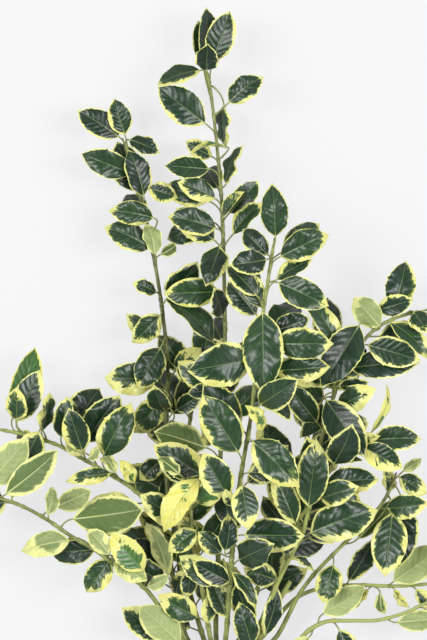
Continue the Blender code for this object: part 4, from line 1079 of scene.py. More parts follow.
def leaves_of(name):
    """The leaves of one sprig."""
    line = stalk_places(name)
    order = list(STEMS).index(name)
    outer = LEAVES.get(name, ())
    inner = tuple((*row[:7], INNER_WIDTH, row[7], INNER_FOLD, *row[8:])
                  for row in INNER_LEAVES.get(name, ()))
    calm = {number: part for part, numbers in CALM_LEAVES.get(name, {}).items()
            for number in numbers}
    return [LaidLeaf(line, row, ORDER_STEP * order + number, number >= len(outer),
                     calm.get(number, 1.0))
            for number, row in enumerate(outer + inner)]


# ---- Leaves --------------------------------------------------------------------------------

OUTLINE = ((0.0, 0.0), (0.05, 0.28), (0.14, 0.62), (0.27, 0.90), (0.42, 1.0), (0.58, 0.965),
           (0.73, 0.80), (0.85, 0.53), (0.93, 0.235), (0.97, 0.085), (1.0, 0.0))
LEAF_STATIONS = (15, 44)  # points of a blade's sheets, across and along
INNER_STATIONS = (0.6, 0.55)  # of the leaves further in, as shares of those
STALK_STATIONS = (9, 24)  # points of a stalk's tube, round and along
SEAM = 0.000004  # metres, under which two points are joined
STALK_SHARE = 0.36  # part of the stalk's tube that is free of the blade
RIB_END = 0.93  # how far along the blade the tube under it goes
VEIN_SLANT = 1.9  # how many veins further on a side vein ends than it starts
SPINES_ALONG = 5.5  # on each margin
SPINE_SHIFT = 0.21  # of one margin's spines forwards and the other's backwards, in spines
SPINE_SHARPNESS = 5.0
WAVES_ALONG = 2.3  # on each margin
FOLD_CHANGE = 0.5  # between the least and the most folded leaf, as a share of the fold
DISHING = 0.28  # how much flatter a half blade is at its margin
DROOP = (0.10, 0.16)  # of the margin, as a share of half a blade: least, and what may be added
GROOVE = 0.00025  # metres, depth over the midrib
TWIST = 0.95  # between the most twisted leaves, as a slope
SICKLE = 0.17  # between the leaves that swing most to each side, as a share of the length
TIP_THINNING = 0.55  # how much thinner a blade is at its point
LEAST_HEIGHT = SURFACE * MM * 1.5  # metres over the surface
STALK_FLARE = 0.55  # how much thicker a stalk is at the stem
THINNEST_RIB = 0.00012  # metres, radius that the rib would have at the blade's point
RIB_SINK = (0.55, 0.00022)  # the rib's middle under the blade's, in radii and in metres more
PER_METRE = 1000.0  # millimetres
LEAF_MARKS = ("place", "marks", "tones")

# The draws of a leaf, which each give it another even-handed value.
SHAPE, MARGIN_WIDTH, MARGIN_SIDE, TIP, LIGHT, YELLOW, HAS_BUD, BUD = 3, 17, 23, 29, 31, 37, 41, 43


def leaf_tree(values):
    """A tree that grows a blade with its stalk on each point of a mesh."""
    growth = Growth("holly_leaf", values)
    across, along = growth.given("Stations across"), growth.given("Stations along")
    is_inner = growth.compare(growth.read("inner"), 0.5)
    outer = blades_on_points(growth, growth.grid(across, along), growth.negated(is_inner))
    fewer_across, fewer_along = INNER_STATIONS
    inner = growth.grid((across * fewer_across).math("CEIL"), (along * fewer_along).math("CEIL"))
    inner = blades_on_points(growth, inner, is_inner)
    blades = shaped_blades(growth, growth.join(outer, inner))
    tube = growth.finished(growth.grid(*STALK_STATIONS), "Stalk finish")
    stalks = shaped_stalks(growth, growth.planted(tube))
    whole = growth.join(blades, stalks)
    whole = growth.add("GeometryNodeMergeByDistance", Geometry=whole, Distance=SEAM)
    whole = growth.add("GeometryNodeSetShadeSmooth", Geometry=whole)
    return growth.end(growth.crisp(whole))


def blades_on_points(growth, sheet, selection):
    """An upper and an under sheet on each of the chosen points, not yet shaped."""
    upper = growth.store(growth.add("GeometryNodeFlipFaces", Mesh=sheet), "face", 1.0)
    under = growth.store(sheet, "face", -1.0)
    upper = growth.finished(upper, "Upper side")
    under = growth.finished(under, "Underside")
    return growth.planted(growth.join(upper, under), Selection=selection)


def rib_line(growth, along):
    """How high the midrib's line stands over the chord of its leaf."""
    length = growth.read("leaf_length")
    rise = growth.read("leaf_rise") * along * (1.0 - along) * 4.0  # 1 halfway along
    down = (along - 0.5).at_least(0.0) ** 2.0 * length * growth.given("Curl") * 4.0
    down = down * (0.2 + 1.6 * share_wire(growth.read("leaf_seed"), 9.1))
    return rise - down * growth.read("liveliness")


def sickle_line(growth, along):
    """How far the midrib's line swings to one side."""
    swing = (share_wire(growth.read("leaf_seed"), 3.7) - 0.5) * SICKLE
    return swing * along * along * growth.read("leaf_length") * growth.read("liveliness")


def shaped_blades(growth, blades):
    """Moves the sheets of the blades to their places."""
    tree = growth.tree
    across, along, face = growth.read("across"), growth.read("along"), growth.read("face")
    seed = growth.read("leaf_seed")
    lively = growth.read("liveliness")
    half = growth.read("leaf_half") * ((growth.given("Fullness") - 1.0) * lively + 1.0)
    length = growth.read("leaf_length")
    reach = abs(across)
    outline = growth.profile(along, OUTLINE)
    turn = along * SPINES_ALONG + seed * 7.3 + across.math("SIGN") * SPINE_SHIFT
    tooth = (turn * math.tau).math("COSINE").at_least(0.0) ** SPINE_SHARPNESS
    tooth = tooth * growth.given("Spines") * along.ramp(0.16, 0.34)
    tooth = tooth * noise(tree, vector_of(tree, turn, seed * 9.0, 0.5), 0.9).ramp(0.4, 0.62)
    width = half * outline * (1.0 + tooth * reach ** 8.0)
    lean = growth.read("leaf_fold") * (1.0 + (FOLD_CHANGE * seed - FOLD_CHANGE / 2) * lively)
    out = across * width
    spread = out * lean.math("COSINE")
    valley = abs(out) * lean.math("SINE") * (1.0 - DISHING * reach * lively)
    droop = half * outline * reach ** 3.0 * (DROOP[0] + DROOP[1] * seed) * lively
    swing = ((along * WAVES_ALONG + seed * 5.1) * math.tau + across * 1.4).math("SINE")
    wave = swing * reach ** 2.0 * half * outline * growth.given("Waves") * lively
    phase = along * growth.given("Vein pairs") - reach * VEIN_SLANT
    swell = (phase * math.tau).math("COSINE") * -1.0
    swell = swell * reach.ramp(0.05, 0.3) * (1.0 - reach ** 3.0) * growth.given("Quilting")
    groove = reach.ramp(0.0, 0.12, -1.0, 0.0) * GROOVE
    relief = (swell + groove) * along.ramp(0.0, 0.05) * along.fall(0.95, 1.0)
    thick = growth.given("Thickness") * 0.5 * (1.0 - TIP_THINNING * along) * (1.0 - reach ** 4.0)
    thick = thick * along.ramp(0.0, 0.04) * along.fall(0.97, 1.0)
    height = valley - droop + wave + relief + rib_line(growth, along) + thick * face
    twist = (share_wire(seed, 5.3) - 0.5) * TWIST * along * lively
    height = height + out * twist
    place = growth.arrow("leaf_foot").moved(
        (growth.arrow("leaf_along"), along * length),
        (growth.arrow("leaf_side"), spread + sickle_line(growth, along)),
        (growth.arrow("leaf_up"), height))
    margin = growth.either(growth.compare(across, 0.0), growth.read("margin_left"),
                           growth.read("margin_right"))
    from_edge = (1.0 - reach) * width * PER_METRE / margin
    from_tip = (1.0 - along) * length * PER_METRE / (growth.read("margin_tip") + 0.1)
    marks = (
        (across, along, seed * 10.0),
        (from_edge, from_tip, out * PER_METRE),
        (growth.read("leaf_light"), growth.read("leaf_yellow"), margin),
    )
    for name, parts in zip(LEAF_MARKS, marks):
        blades = growth.store_arrow(blades, name, vector_of(tree, *parts))
    return growth.settled(blades, lifted(tree, place))


def share_wire(seed, factor):
    """Another even-handed value from 0 to 1 out of a seed."""
    return (seed * factor).math("FRACT")


def lifted(tree, place):
    """The same place, or one just over the surface where it would be under it."""
    return vector_of(tree, place.part("X"), place.part("Y"),
                     place.part("Z").at_least(NECK.z + LEAST_HEIGHT))


def shaped_stalks(growth, tubes):
    """Moves the tubes of the stalks and midribs to their places."""
    tree = growth.tree
    across, along = growth.read("across"), growth.read("along")
    free = (along / STALK_SHARE).at_most(1.0)
    held = ((along - STALK_SHARE) / (1.0 - STALK_SHARE) * RIB_END).at_least(0.0)
    start, bend, foot, plane = (growth.arrow(name) for name in (
        "stalk_start", "stalk_bend", "leaf_foot", "stalk_plane"))
    back = 1.0 - free
    line = start.scaled(back * back).moved(
        (bend, back * free * 2.0), (foot, free * free),
        (growth.arrow("leaf_along"), held * growth.read("leaf_length")),
        (growth.arrow("leaf_side"), sickle_line(growth, held)))
    run = bend.vector("SUBTRACT", start).scaled(back)
    run = run.moved((foot.vector("SUBTRACT", bend), free)).vector("NORMALIZE")
    radius = growth.given("Stalk") * (1.0 + STALK_FLARE * along.fall(0.0, 0.13))
    thin = growth.given("Rib") * (1.0 - held) + THINNEST_RIB
    is_rib = along.ramp(STALK_SHARE - 0.03, STALK_SHARE + 0.05)
    radius = radius * (1.0 - is_rib) + thin * is_rib
    sink = (radius * RIB_SINK[0] + RIB_SINK[1]) * held.ramp(0.0, 0.09)
    line = line.moved((growth.arrow("leaf_up"), rib_line(growth, held) - sink))
    ends = along.ramp(0.0, 0.02) * along.fall(0.985, 1.0)
    turn = across * math.pi
    cosine, sine = turn.math("COSINE"), turn.math("SINE")
    upright = run.vector("CROSS_PRODUCT", plane)
    ringed = plane.scaled(cosine * radius * ends).moved((upright, sine * radius * ends))
    grain = vector_of(tree, cosine, along * 60.0 + growth.read("leaf_seed") * 90.0, sine)
    tubes = growth.store_arrow(tubes, "grain", grain)
    tubes = growth.store(tubes, "sunlit", is_rib * 1.5 + 0.5)
    return growth.settled(tubes, lifted(tree, line.vector("ADD", ringed)))


UPPER_REACH = 0.12  # metres past the bunch's middle, where the margins are at their narrowest
UPPER_MARGINS = 0.66  # their width there, as a share of their width low down
WIDE_MARGIN = (0.6, 1.9)  # limits of one margin's width against the table's
TIP_MARGIN = (0.6, 1.7)  # limits of the point's margin against the table's
MORE_LIGHT = 0.14  # what chance may add to how far the green is lit up
MORE_YELLOW = 0.3  # what chance may add to how yellowed a leaf is
LEAF_VALUES = {
    "leaf_foot": "foot", "leaf_along": "along", "leaf_side": "side", "leaf_up": "up",
    "stalk_start": "start", "stalk_bend": "bend", "stalk_plane": "plane",
    "leaf_length": "length", "leaf_half": "half", "leaf_rise": "rise", "leaf_fold": "fold",
    "liveliness": "liveliness",
}


def leaf_marks(leaves, margin_share):
    """The values that the leaf tree reads from its points."""
    marks = {title: [getattr(leaf, name) for leaf in leaves]
             for title, name in LEAF_VALUES.items()}
    marks["leaf_seed"] = [leaf.chance(SHAPE) for leaf in leaves]
    marks["inner"] = [float(leaf.is_inner) for leaf in leaves]
    left, right, tip, light, yellow = [], [], [], [], []
    for leaf in leaves:
        port, starboard, point, lit, yellowed = leaf.marking
        high = min(1.0, max(0.0, leaf.foot.y / UPPER_REACH))
        margin = margin_share * (1.0 - (1.0 - UPPER_MARGINS) * high)
        wide = between(WIDE_MARGIN, leaf.chance(MARGIN_WIDTH))
        if leaf.chance(MARGIN_SIDE) > 0.5:
            port *= wide
        else:
            starboard *= wide
        left.append(port * margin)
        right.append(starboard * margin)
        tip.append(point * between(TIP_MARGIN, leaf.chance(TIP)) * margin)
        light.append(min(1.0, lit + MORE_LIGHT * leaf.chance(LIGHT) ** 2))
        yellow.append(min(1.0, yellowed + MORE_YELLOW * leaf.chance(YELLOW)))
    marks.update(margin_left=left, margin_right=right, margin_tip=tip, leaf_light=light,
                 leaf_yellow=yellow)
    return marks


# ---- Finishes ------------------------------------------------------------------------------

def effect(name, inputs, outputs):
    """An empty shader node group with named sockets, wires to its inputs, and its end."""
    tree = bpy.data.node_groups.new(name, "ShaderNodeTree")
    for title, kind in inputs.items():
        tree.interface.new_socket(title, in_out="INPUT", socket_type="NodeSocket" + kind)
    for title in outputs:
        tree.interface.new_socket(title, in_out="OUTPUT", socket_type="NodeSocketFloat")
    source, sink = tree.nodes.new("NodeGroupInput"), tree.nodes.new("NodeGroupOutput")
    return tree, {title: Wire(tree, source.outputs[title]) for title in inputs}, sink


def use(tree, name, maker, **values):
    """The outputs of a node group in a material. MAKER makes it the first time."""
    node = tree.nodes.new("ShaderNodeGroup")
    node.node_tree = bpy.data.node_groups.get(name) or maker()
    fill(tree, node, **values)
    return [Wire(tree, output) for output in node.outputs]


def attribute(tree, name, output="Vector"):
    node = tree.nodes.new("ShaderNodeAttribute")
    node.attribute_type = "GEOMETRY"
    node.attribute_name = name
    return Wire(tree, node.outputs[output])


def coordinates(tree, output="Object"):
    return Wire(tree, tree.nodes.new("ShaderNodeTexCoord").outputs[output])


def cells(tree, place, feature="F1"):
    """How far a place is from the middle of its cell, or from the nearest cell's edge."""
    node = tree.nodes.new("ShaderNodeTexVoronoi")
    node.feature = feature
    fill(tree, node, Vector=place, Scale=1.0)
    return Wire(tree, node.outputs["Distance"])


def variegation_effect():
    """Where a blade is cream, flecked or green: along its margin, jagged along the veins."""
    tree, given, sink = effect(
        "holly_variegation",
        {"Place": "Vector", "Marks": "Vector", "Jaggedness": "Float", "Vein Pairs": "Float"},
        ("Cream", "Fleck", "Blotch"))
    across, along, seed = (given["Place"].part(axis) for axis in "XYZ")
    edge, tip = given["Marks"].part("X"), given["Marks"].part("Y")
    reach = abs(across)
    phase = along * given["Vein Pairs"] - reach * VEIN_SLANT
    side = across.math("SIGN") * 3.1
    along_veins = vector_of(tree, phase * 2.3, reach * 2.2 + side, seed)
    teeth = noise(tree, along_veins, detail=3.0, roughness=0.55)
    broad = noise(tree, vector_of(tree, along * 3.1, side, seed * 1.7))
    limit = broad.ramp(0.28, 0.7, 0.2, 1.75) + (teeth - 0.5) * given["Jaggedness"]
    inside = edge.at_most(tip) - limit  # in widths of the margin
    fill(tree, sink, Cream=inside.fall(-0.05, 0.07),
         Fleck=inside.fall(0.0, 0.8) * teeth.ramp(0.38, 0.54),
         Blotch=noise(tree, along_veins, 0.45))
    return tree


def veins_effect():
    """The midrib and the side veins of a blade, as masks and as a height."""
    tree, given, sink = effect(
        "holly_veins",
        {"Place": "Vector", "Marks": "Vector", "Vein Pairs": "Float", "Rib Width": "Float"},
        ("Midrib", "Veins", "Height"))
    across, along, seed = (given["Place"].part(axis) for axis in "XYZ")
    reach = abs(across)
    rib = abs(given["Marks"].part("Z"))
    width = given["Rib Width"] * (1.15 - along)
    midrib = (rib / width).fall(0.75, 1.6)
    wander = noise(tree, vector_of(tree, along * 6.0, across * 3.0, seed))
    phase = along * given["Vein Pairs"] - reach * VEIN_SLANT + (wander - 0.5) * 0.5
    near = abs(phase.math("FRACT") - 0.5)
    veins = near.ramp(0.40, 0.5) * reach.fall(0.72, 0.98)
    net = cells(tree, vector_of(tree, phase * 2.0, reach * 5.0, seed), "DISTANCE_TO_EDGE")
    height = midrib + veins * 0.7 + net.fall(0.0, 0.12) * 0.10
    fill(tree, sink, Midrib=midrib, Veins=veins, Height=height)
    return tree


def bark_effect():
    """Lengthwise ridges, lenticels and blotches of green bark, at a place along the grain."""
    tree, given, sink = effect("holly_bark", {"Place": "Vector", "Scale": "Float"},
                               ("Ridges", "Lenticels", "Blotches"))
    place = given["Place"].scaled(given["Scale"])
    spots = cells(tree, place.vector("MULTIPLY", (0.8, 0.33, 0.8)))
    fine = place.vector("MULTIPLY", (1.5, 0.14, 1.5))
    fill(tree, sink, Ridges=noise(tree, fine, detail=3.0, roughness=0.6),
         Lenticels=spots.fall(0.12, 0.2), Blotches=noise(tree, place, 0.06))
    return tree


def new_material(name, roughness, specular):
    """A material with its Principled shader, plain values set on the sockets."""
    found = bpy.data.materials.new(name)
    found.use_nodes = True
    tree = found.node_tree
    shader = tree.nodes["Principled BSDF"]
    return found, tree, fill(tree, shader, Roughness=roughness, Specular_IOR_Level=specular)


def bumped(tree, shader, height, strength, distance):
    bump = fill(tree, tree.nodes.new("ShaderNodeBump"), Height=height, Strength=strength,
                Distance=distance)
    tree.links.new(bump.outputs["Normal"], shader.inputs["Normal"])


def leaf_look(tree, settings, jaggedness, rib_width):
    """What both sides of a blade are painted from: its marks, its pattern and its veins."""
    place, marks, tones = (attribute(tree, name) for name in LEAF_MARKS)
    shared = {"Place": place, "Marks": marks, "Vein Pairs": float(settings.vein_pairs)}
    pattern = use(tree, "holly_variegation", variegation_effect, Jaggedness=jaggedness,
                  **shared)
    veins = use(tree, "holly_veins", veins_effect, Rib_Width=rib_width, **shared)
    return place, marks, tones, pattern, veins


def upper_side(settings):
    found, tree, shader = new_material("leaf_upper_side", roughness=0.30, specular=0.45)
    fill(tree, shader, Coat_Weight=0.17, Coat_Roughness=0.18)
    place, _, tones, pattern, veins = leaf_look(
        tree, settings, jaggedness=2.5, rib_width=0.44)
    cream, fleck, blotch = pattern
    midrib, side_veins, height = veins
    lit = (tones.part("X") + blotch.ramp(0.45, 0.75, 0.0, 0.16)).at_most(1.0)
    green = mixed(tree, lit, settings.deep_green, settings.fresh_green)
    # Painted shade: the side veins are darkened towards a third of the deep green, which stands
    # in for the shade in their grooves.
    green = mixed(tree, side_veins * 0.7, green, dimmed(settings.deep_green, 0.35))
    green = mixed(tree, fleck * 0.75, green, settings.grey_green)
    gilt = (tones.part("Y") * 0.6 + blotch.ramp(0.4, 0.7, 0.0, 0.6)).at_most(1.0)
    colour = mixed(tree, cream, green, mixed(tree, gilt, settings.cream, settings.gold))
    colour = mixed(tree, midrib * 0.6, colour, settings.midrib)
    wax = noise(tree, place.vector("MULTIPLY", (4.0, 9.0, 1.0)))
    fill(tree, shader, Base_Color=colour,
         Roughness=wax.ramp(0.3, 0.7, 0.27, 0.40) + cream * 0.12)
    bumped(tree, shader, 1.0 - height, strength=0.3, distance=0.0007)
    return found


def under_side(settings):
    found, tree, shader = new_material("leaf_underside", roughness=0.5, specular=0.4)
    place, marks, tones, pattern, veins = leaf_look(
        tree, settings, jaggedness=1.2, rib_width=0.75)
    cream, fleck, blotch = pattern
    midrib, side_veins, height = veins
    from_rib = marks.part("Z")
    mottled = noise(tree, vector_of(tree, from_rib * 0.25, place.part("Y") * 6.0,
                                    place.part("Z")), detail=3.0)
    flush = abs(from_rib).ramp(3.0, 24.0, 1.0, 0.5) * mottled.ramp(0.25, 0.6, 0.45, 1.0)
    flush = (flush * (0.2 + tones.part("X") * 2.2)).at_most(1.0)
    colour = mixed(tree, flush, settings.sage, settings.sage_rib)
    for mask, paint in ((fleck * 0.3, settings.cream), (cream, settings.cream),
                        (side_veins * 0.25, settings.sage_rib), (midrib * 0.6, settings.cream)):
        colour = mixed(tree, mask, colour, paint)
    fill(tree, shader, Base_Color=colour, Roughness=blotch.ramp(0.2, 0.8, 0.44, 0.6))
    bumped(tree, shader, height, strength=0.3, distance=0.0005)
    return found


def green_wood(name, young, old, scale, speckle, speck, sunned):
    """The finish of stalks, stems and buds: streaked bark with pale marks.

    SPECKLE is the strength of the marks, and SUNNED the colour where the light bleaches it.
    """
    found, tree, shader = new_material(name, roughness=0.45, specular=0.4)
    ridges, lenticels, blotches = use(tree, "holly_bark", bark_effect,
                                      Place=attribute(tree, "grain"), Scale=scale)
    sunlit = attribute(tree, "sunlit", "Fac")
    shade = ridges.ramp(0.35, 0.65) * 0.5 + blotches.ramp(0.35, 0.65) * 0.4
    shade = (shade + 0.55 - sunlit).at_most(1.0).at_least(0.0)
    colour = mixed(tree, shade, young, old)
    colour = mixed(tree, lenticels * speckle, colour, speck)
    pale = (sunlit - 1.0).at_least(0.0).at_most(1.0)
    fill(tree, shader, Base_Color=mixed(tree, pale, colour, sunned),
         Roughness=ridges.ramp(0.3, 0.7, 0.36, 0.58))
    bumped(tree, shader, ridges + lenticels * 0.4, strength=0.4, distance=0.0004)
    return found


def cut_wood(settings):
    """Pale wood with rings, for the cut ends."""
    found, tree, shader = new_material("cut_wood", roughness=0.7, specular=0.3)
    grain = noise(tree, coordinates(tree), 900.0, detail=3.0)
    fill(tree, shader, Base_Color=mixed(tree, grain.ramp(0.3, 0.7), settings.cut_wood,
                                        dimmed(settings.cut_wood, 0.72)))
    bumped(tree, shader, grain, strength=0.4, distance=0.0003)
    return found


def raffia_finish(settings):
    """Straw-coloured fibres that run along each strand."""
    found, tree, shader = new_material("raffia_fibre", roughness=0.62, specular=0.3)
    strand = attribute(tree, "strand")
    fibres = noise(tree, strand.vector("MULTIPLY", (9.0, 1.2, 1.0)), detail=4.0,
                   roughness=0.65)
    patches = noise(tree, strand.vector("MULTIPLY", (0.6, 0.5, 1.0)))
    # Brown where the fibres' bump sinks, which is painted shade in the strand's grooves, and in
    # random patches of browner raffia.
    shade = fibres.ramp(0.35, 0.62) * 0.65 + patches.ramp(0.35, 0.7) * 0.35
    fill(tree, shader,
         Base_Color=mixed(tree, shade, settings.raffia_brown_and_shade, settings.raffia_pale),
         Roughness=fibres.ramp(0.3, 0.7, 0.5, 0.72))
    bumped(tree, shader, fibres, strength=0.6, distance=0.0004)
    return found


# ---- Stems ---------------------------------------------------------------------------------

CUT_BEVEL = 0.9  # radius of a cut end's rim, as a share of the stem's
NODE_LENGTH = 1.7  # reach of a node's swelling along the stem, in millimetres
TIP_TAPER = 0.35  # radius under the end bud, as a share of the stem's there
TAPERED = 3.0  # sections of a stem that get thinner towards its end bud
NO_NODE = 100.0  # how far away a node is on a stem without leaves, in millimetres
BUD_SHARE = 0.85  # of the stalks that have a bud beside them
BUD_PLACE = (0.95, 1.6)  # outwards in radii of the stem, and along it in millimetres
BUD_LEAN = 0.7  # away from the stem, against 1 along it
BUD_SIZE = (0.7, 1.15)  # least and most, against the bud's length
END_BUD = 1.6  # size of the bud at a stem's tip, in the same way
MOST_SIDES = 4.5  # a face of the bark has 4 corners, and a cut face has more
SUNLIT = {"centre_tall": 0.35, "left_tall": 0.1, "right_low": 1.1, "right_lowest": 1.15,
          "right_middle": 0.95, "left_middle": 0.8, "centre_front": 0.6, "right_dark": 0.6,
          "cut_stub": 0.9}  # how light the bark of a stem is
SUNLIT_ELSE = 0.5  # the other stems' bark


def stem_tree(values):
    """A tree that grows bark along a line of points, and buds on the loose points."""
    growth = Growth("holly_stem", values)
    tree = growth.tree
    bark = growth.add("GeometryNodeCurveToMesh", Curve=growth.measured_line(),
                      Profile_Curve=growth.ring(growth.given("Sides")),
                      Scale=growth.read("girth"), Fill_Caps=True)
    ring = growth.arrow("ring")
    grain = vector_of(tree, ring.part("X") * 2.0, growth.read("run") * PER_METRE,
                      ring.part("Y") * 2.0)
    bark = growth.finished(growth.store_arrow(bark, "grain", grain), "Bark")
    is_cut = growth.compare(growth.add("GeometryNodeInputMeshFaceNeighbors"), MOST_SIDES)
    bark = growth.finished(bark, "Cut face", Selection=is_cut)
    ridges = noise(tree, grain.vector("MULTIPLY", (1.1, 0.16, 1.1))) - 0.5
    bark = growth.roughened(bark, ridges * growth.given("Ridges") * 2.0)
    buds = growth.add("GeometryNodeMeshUVSphere", Segments=10, Rings=8, Radius=1.0)
    place = growth.add("GeometryNodeInputPosition")
    narrow = (1.0 - 0.45 * place.part("Z").at_least(0.0) ** 1.5) * 0.46
    shaped = vector_of(tree, place.part("X") * narrow, place.part("Y") * narrow,
                       place.part("Z"))
    buds = growth.store_arrow(growth.settled(buds, shaped), "grain", shaped.scaled(4.0))
    turned = growth.add("FunctionNodeAlignRotationToVector", Vector=growth.arrow("bud_heading"))
    size = growth.read("bud_size")
    scale = vector_of(tree, size, size, size).scaled(growth.given("Bud length") * 0.5)
    buds = growth.planted(growth.finished(buds, "Bud scales"), Rotation=turned, Scale=scale,
                          Selection=growth.compare(size, 0.01))
    whole = growth.add("GeometryNodeSetShadeSmooth", Geometry=growth.join(bark, buds),
                       Selection=growth.negated(is_cut))
    return growth.end(whole)


def stem_points(name, leaves, settings):
    """The line of one stem with its girth, and its buds as loose points."""
    line = stem_line(name, settings.step / MM)
    last = len(line) - 1
    is_stub = name not in LEAVES
    rows = []  # of a point: its place, its girth, and its bud's heading and size
    for index, (point, radius) in enumerate(line):
        place = placed(point)
        nearest = min(((place - leaf.node).length / MM for leaf in leaves), default=NO_NODE)
        swell = settings.node_swelling * math.exp(-(nearest / NODE_LENGTH) ** 2)
        taper = 1.0
        if index == 0 or (is_stub and index == last):
            taper = CUT_BEVEL
        elif not is_stub:
            taper = between((TIP_TAPER, 1.0), min(1.0, (last - index) / TAPERED))
        rows.append((place, radius * MM * (1.0 + swell) * taper, UP, 0.0))
    for leaf in leaves:
        if leaf.chance(HAS_BUD) < BUD_SHARE:
            outwards, onwards = BUD_PLACE
            place = leaf.node + (leaf.out * outwards * leaf.radius + leaf.grain * onwards * MM)
            heading = (leaf.grain + leaf.out * BUD_LEAN).normalized()
            rows.append((place, 0.0, heading, between(BUD_SIZE, leaf.chance(BUD))))
    if not is_stub:
        before, tip = line[-2][0], line[-1][0]
        rows.append((placed(tip), 0.0, (tip - before).normalized(), END_BUD))
    points, girth, heading, size = zip(*rows)
    marks = {"girth": girth, "bud_heading": heading, "bud_size": size,
             "sunlit": [SUNLIT.get(name, SUNLIT_ELSE)] * len(points)}
    edges = [(index, index + 1) for index in range(last)]
    return marked_mesh(name + "_line", points, edges, marks)


# ---- Tie -----------------------------------------------------------------------------------

# The tie's lines, in millimetres.
STRAND_SIDES = 12  # corners round a strand
TURN_SPACING = 2.0  # from one turn to the next
TURN_SWAY = 0.7  # how far a turn sways along the stems
OUTLINE_STEPS = 24  # points round each stem, and round each loop of the knot
LAYERS = (0.55, 0.75)  # middle of the inner turns and rise of the outer, in strands
KNOT_TURNS = (-3.0, 0.0, 3.2)  # X of the knot's loops
KNOT_REACH = (7.0, 1.5)  # half length and half height of a loop
KNOT_LEAN = 0.25  # of the outer loops, sideways, as a share of their reach
KNOT_BULGE = 0.5  # how much higher the middle loop is
KNOT_SEED = 10  # the knot's loops count on from here


def tie_tree(values):
    """A tree that lays a flat, slightly twisted strand along every closed line."""
    growth = Growth("raffia_strand", values)
    tree = growth.tree
    outwards = growth.add("GeometryNodeInputTangent").vector("CROSS_PRODUCT",
                                                             growth.arrow("strand_side"))
    node = tree.nodes.new("GeometryNodeSetCurveNormal")
    node.mode = "FREE"
    fill(tree, node, Curve=growth.measured_line(), Normal=outwards)
    place = growth.add("GeometryNodeInputPosition")
    wobble = noise(tree, place.scaled(120.0)) - 0.5
    line = growth.add("GeometryNodeSetCurveTilt", Curve=Wire(tree, node.outputs[0]),
                      Tilt=wobble * 0.5)
    flat = vector_of(tree, place.part("X") * growth.given("Thickness") * 0.5,
                     place.part("Y") * growth.given("Width") * 0.5, 0.0)
    strands = growth.add("GeometryNodeCurveToMesh", Curve=line, Scale=1.0,
                         Profile_Curve=growth.settled(growth.ring(STRAND_SIDES), flat))
    strand = vector_of(tree, growth.arrow("ring").part("Y"), growth.read("run") * 90.0,
                       growth.read("strand_seed"))
    strands = growth.store_arrow(strands, "strand", strand)
    ripple = noise(tree, strand.vector("MULTIPLY", (3.0, 0.5, 5.0))) - 0.5
    strands = growth.roughened(strands, ripple * growth.given("Thickness") * 0.6)
    strands = growth.finished(strands, "Fibre")
    return growth.end(growth.add("GeometryNodeSetShadeSmooth", Geometry=strands))


def tie_outline(clearance):
    """The outline round the tied stems, CLEARANCE outside them, as (x, z) points."""
    reach = STEM_BUTT + clearance
    points = []
    for (column, row), _, _ in STEMS.values():
        for step in range(OUTLINE_STEPS):
            turn = step * math.tau / OUTLINE_STEPS
            points.append(Vector((column * STEM_PITCH + reach * math.cos(turn),
                                  FIRST_ROW + row * STEM_ROW + reach * math.sin(turn))))
    return [points[index] for index in convex_hull_2d(points)]


def tie_lines(settings):
    """The closed lines of the turns round the stems and of the knot over them."""
    points, edges, side, seed = [], [], [], []

    def add_loop(loop, across, number):
        first = len(points)
        points.extend(placed(point) for point in loop)
        edges.extend((first + index, first + (index + 1) % len(loop))
                     for index in range(len(loop)))
        side.extend([across] * len(loop))
        seed.extend([float(number)] * len(loop))

    thick = settings.strand_thickness / MM
    along = Vector((0.0, 1.0, 0.0))
    for number in range(settings.turns):
        middle = (number - (settings.turns - 1) / 2) * TURN_SPACING
        layer = GAP + thick * (LAYERS[0] + LAYERS[1] * (number % 2))
        phase = share(number, 5) * math.tau
        loop = [(x, middle + TURN_SWAY * math.sin(math.atan2(z, x) + phase), z)
                for x, z in tie_outline(layer)]
        add_loop(loop, along, number)
    top = max(z for _, z in tie_outline(GAP))
    reach, lift = KNOT_REACH
    for number, x in enumerate(KNOT_TURNS):
        loop = []
        for step in range(OUTLINE_STEPS):
            turn = step * math.tau / OUTLINE_STEPS
            lean = KNOT_LEAN * (number - 1) * reach * math.cos(turn)
            bulge = lift + KNOT_BULGE * (number % 2)
            loop.append((x + lean, reach * math.cos(turn),
                         top + thick + bulge * math.sin(turn)))
        add_loop(loop, ACROSS, KNOT_SEED + number)
    return marked_mesh("tie_lines", points, edges, {"strand_side": side, "strand_seed": seed})


# ---- Operators -----------------------------------------------------------------------------

class MakeLeaves(bpy.types.Operator):
    """Make the leaves of every sprig, with their stalks, as one piece for each sprig"""

    bl_idname = "holly.make_leaves"
    bl_label = "Leaves"

    def execute(self, context):
        settings, stems = context.scene.holly_leaves, context.scene.holly_stems
        across, along = LEAF_STATIONS
        values = {
            "Thickness": settings.thickness, "Rib": settings.rib, "Stalk": settings.stalk,
            "Fullness": settings.fullness, "Spines": settings.spines, "Waves": settings.waves,
            "Quilting": settings.quilting, "Curl": settings.curl,
            "Vein pairs": float(settings.vein_pairs),
            "Stations across": across, "Stations along": along,
            "Upper side": upper_side(settings), "Underside": under_side(settings),
            "Stalk finish": green_wood("stalk_skin", stems.bark_green, stems.bark_olive,
                                       scale=0.6, speckle=0.1, speck=stems.lenticel,
                                       sunned=settings.rib_pale),
        }
        tree = leaf_tree(values)
        for name in LEAVES:
            leaves = leaves_of(name)
            feet = [leaf.foot for leaf in leaves]
            source = marked_mesh(name + "_feet", feet, [],
                                 leaf_marks(leaves, settings.margin_share))
            piece = grown(name + "_leaves", source, tree, values,
                          LEAF_MARKS + ("grain", "sunlit"))
            own = [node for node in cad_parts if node.startswith(name + "_leaf_")]
            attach(piece, "root")
            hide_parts(name + "_stem", *own)
        return {"FINISHED"}


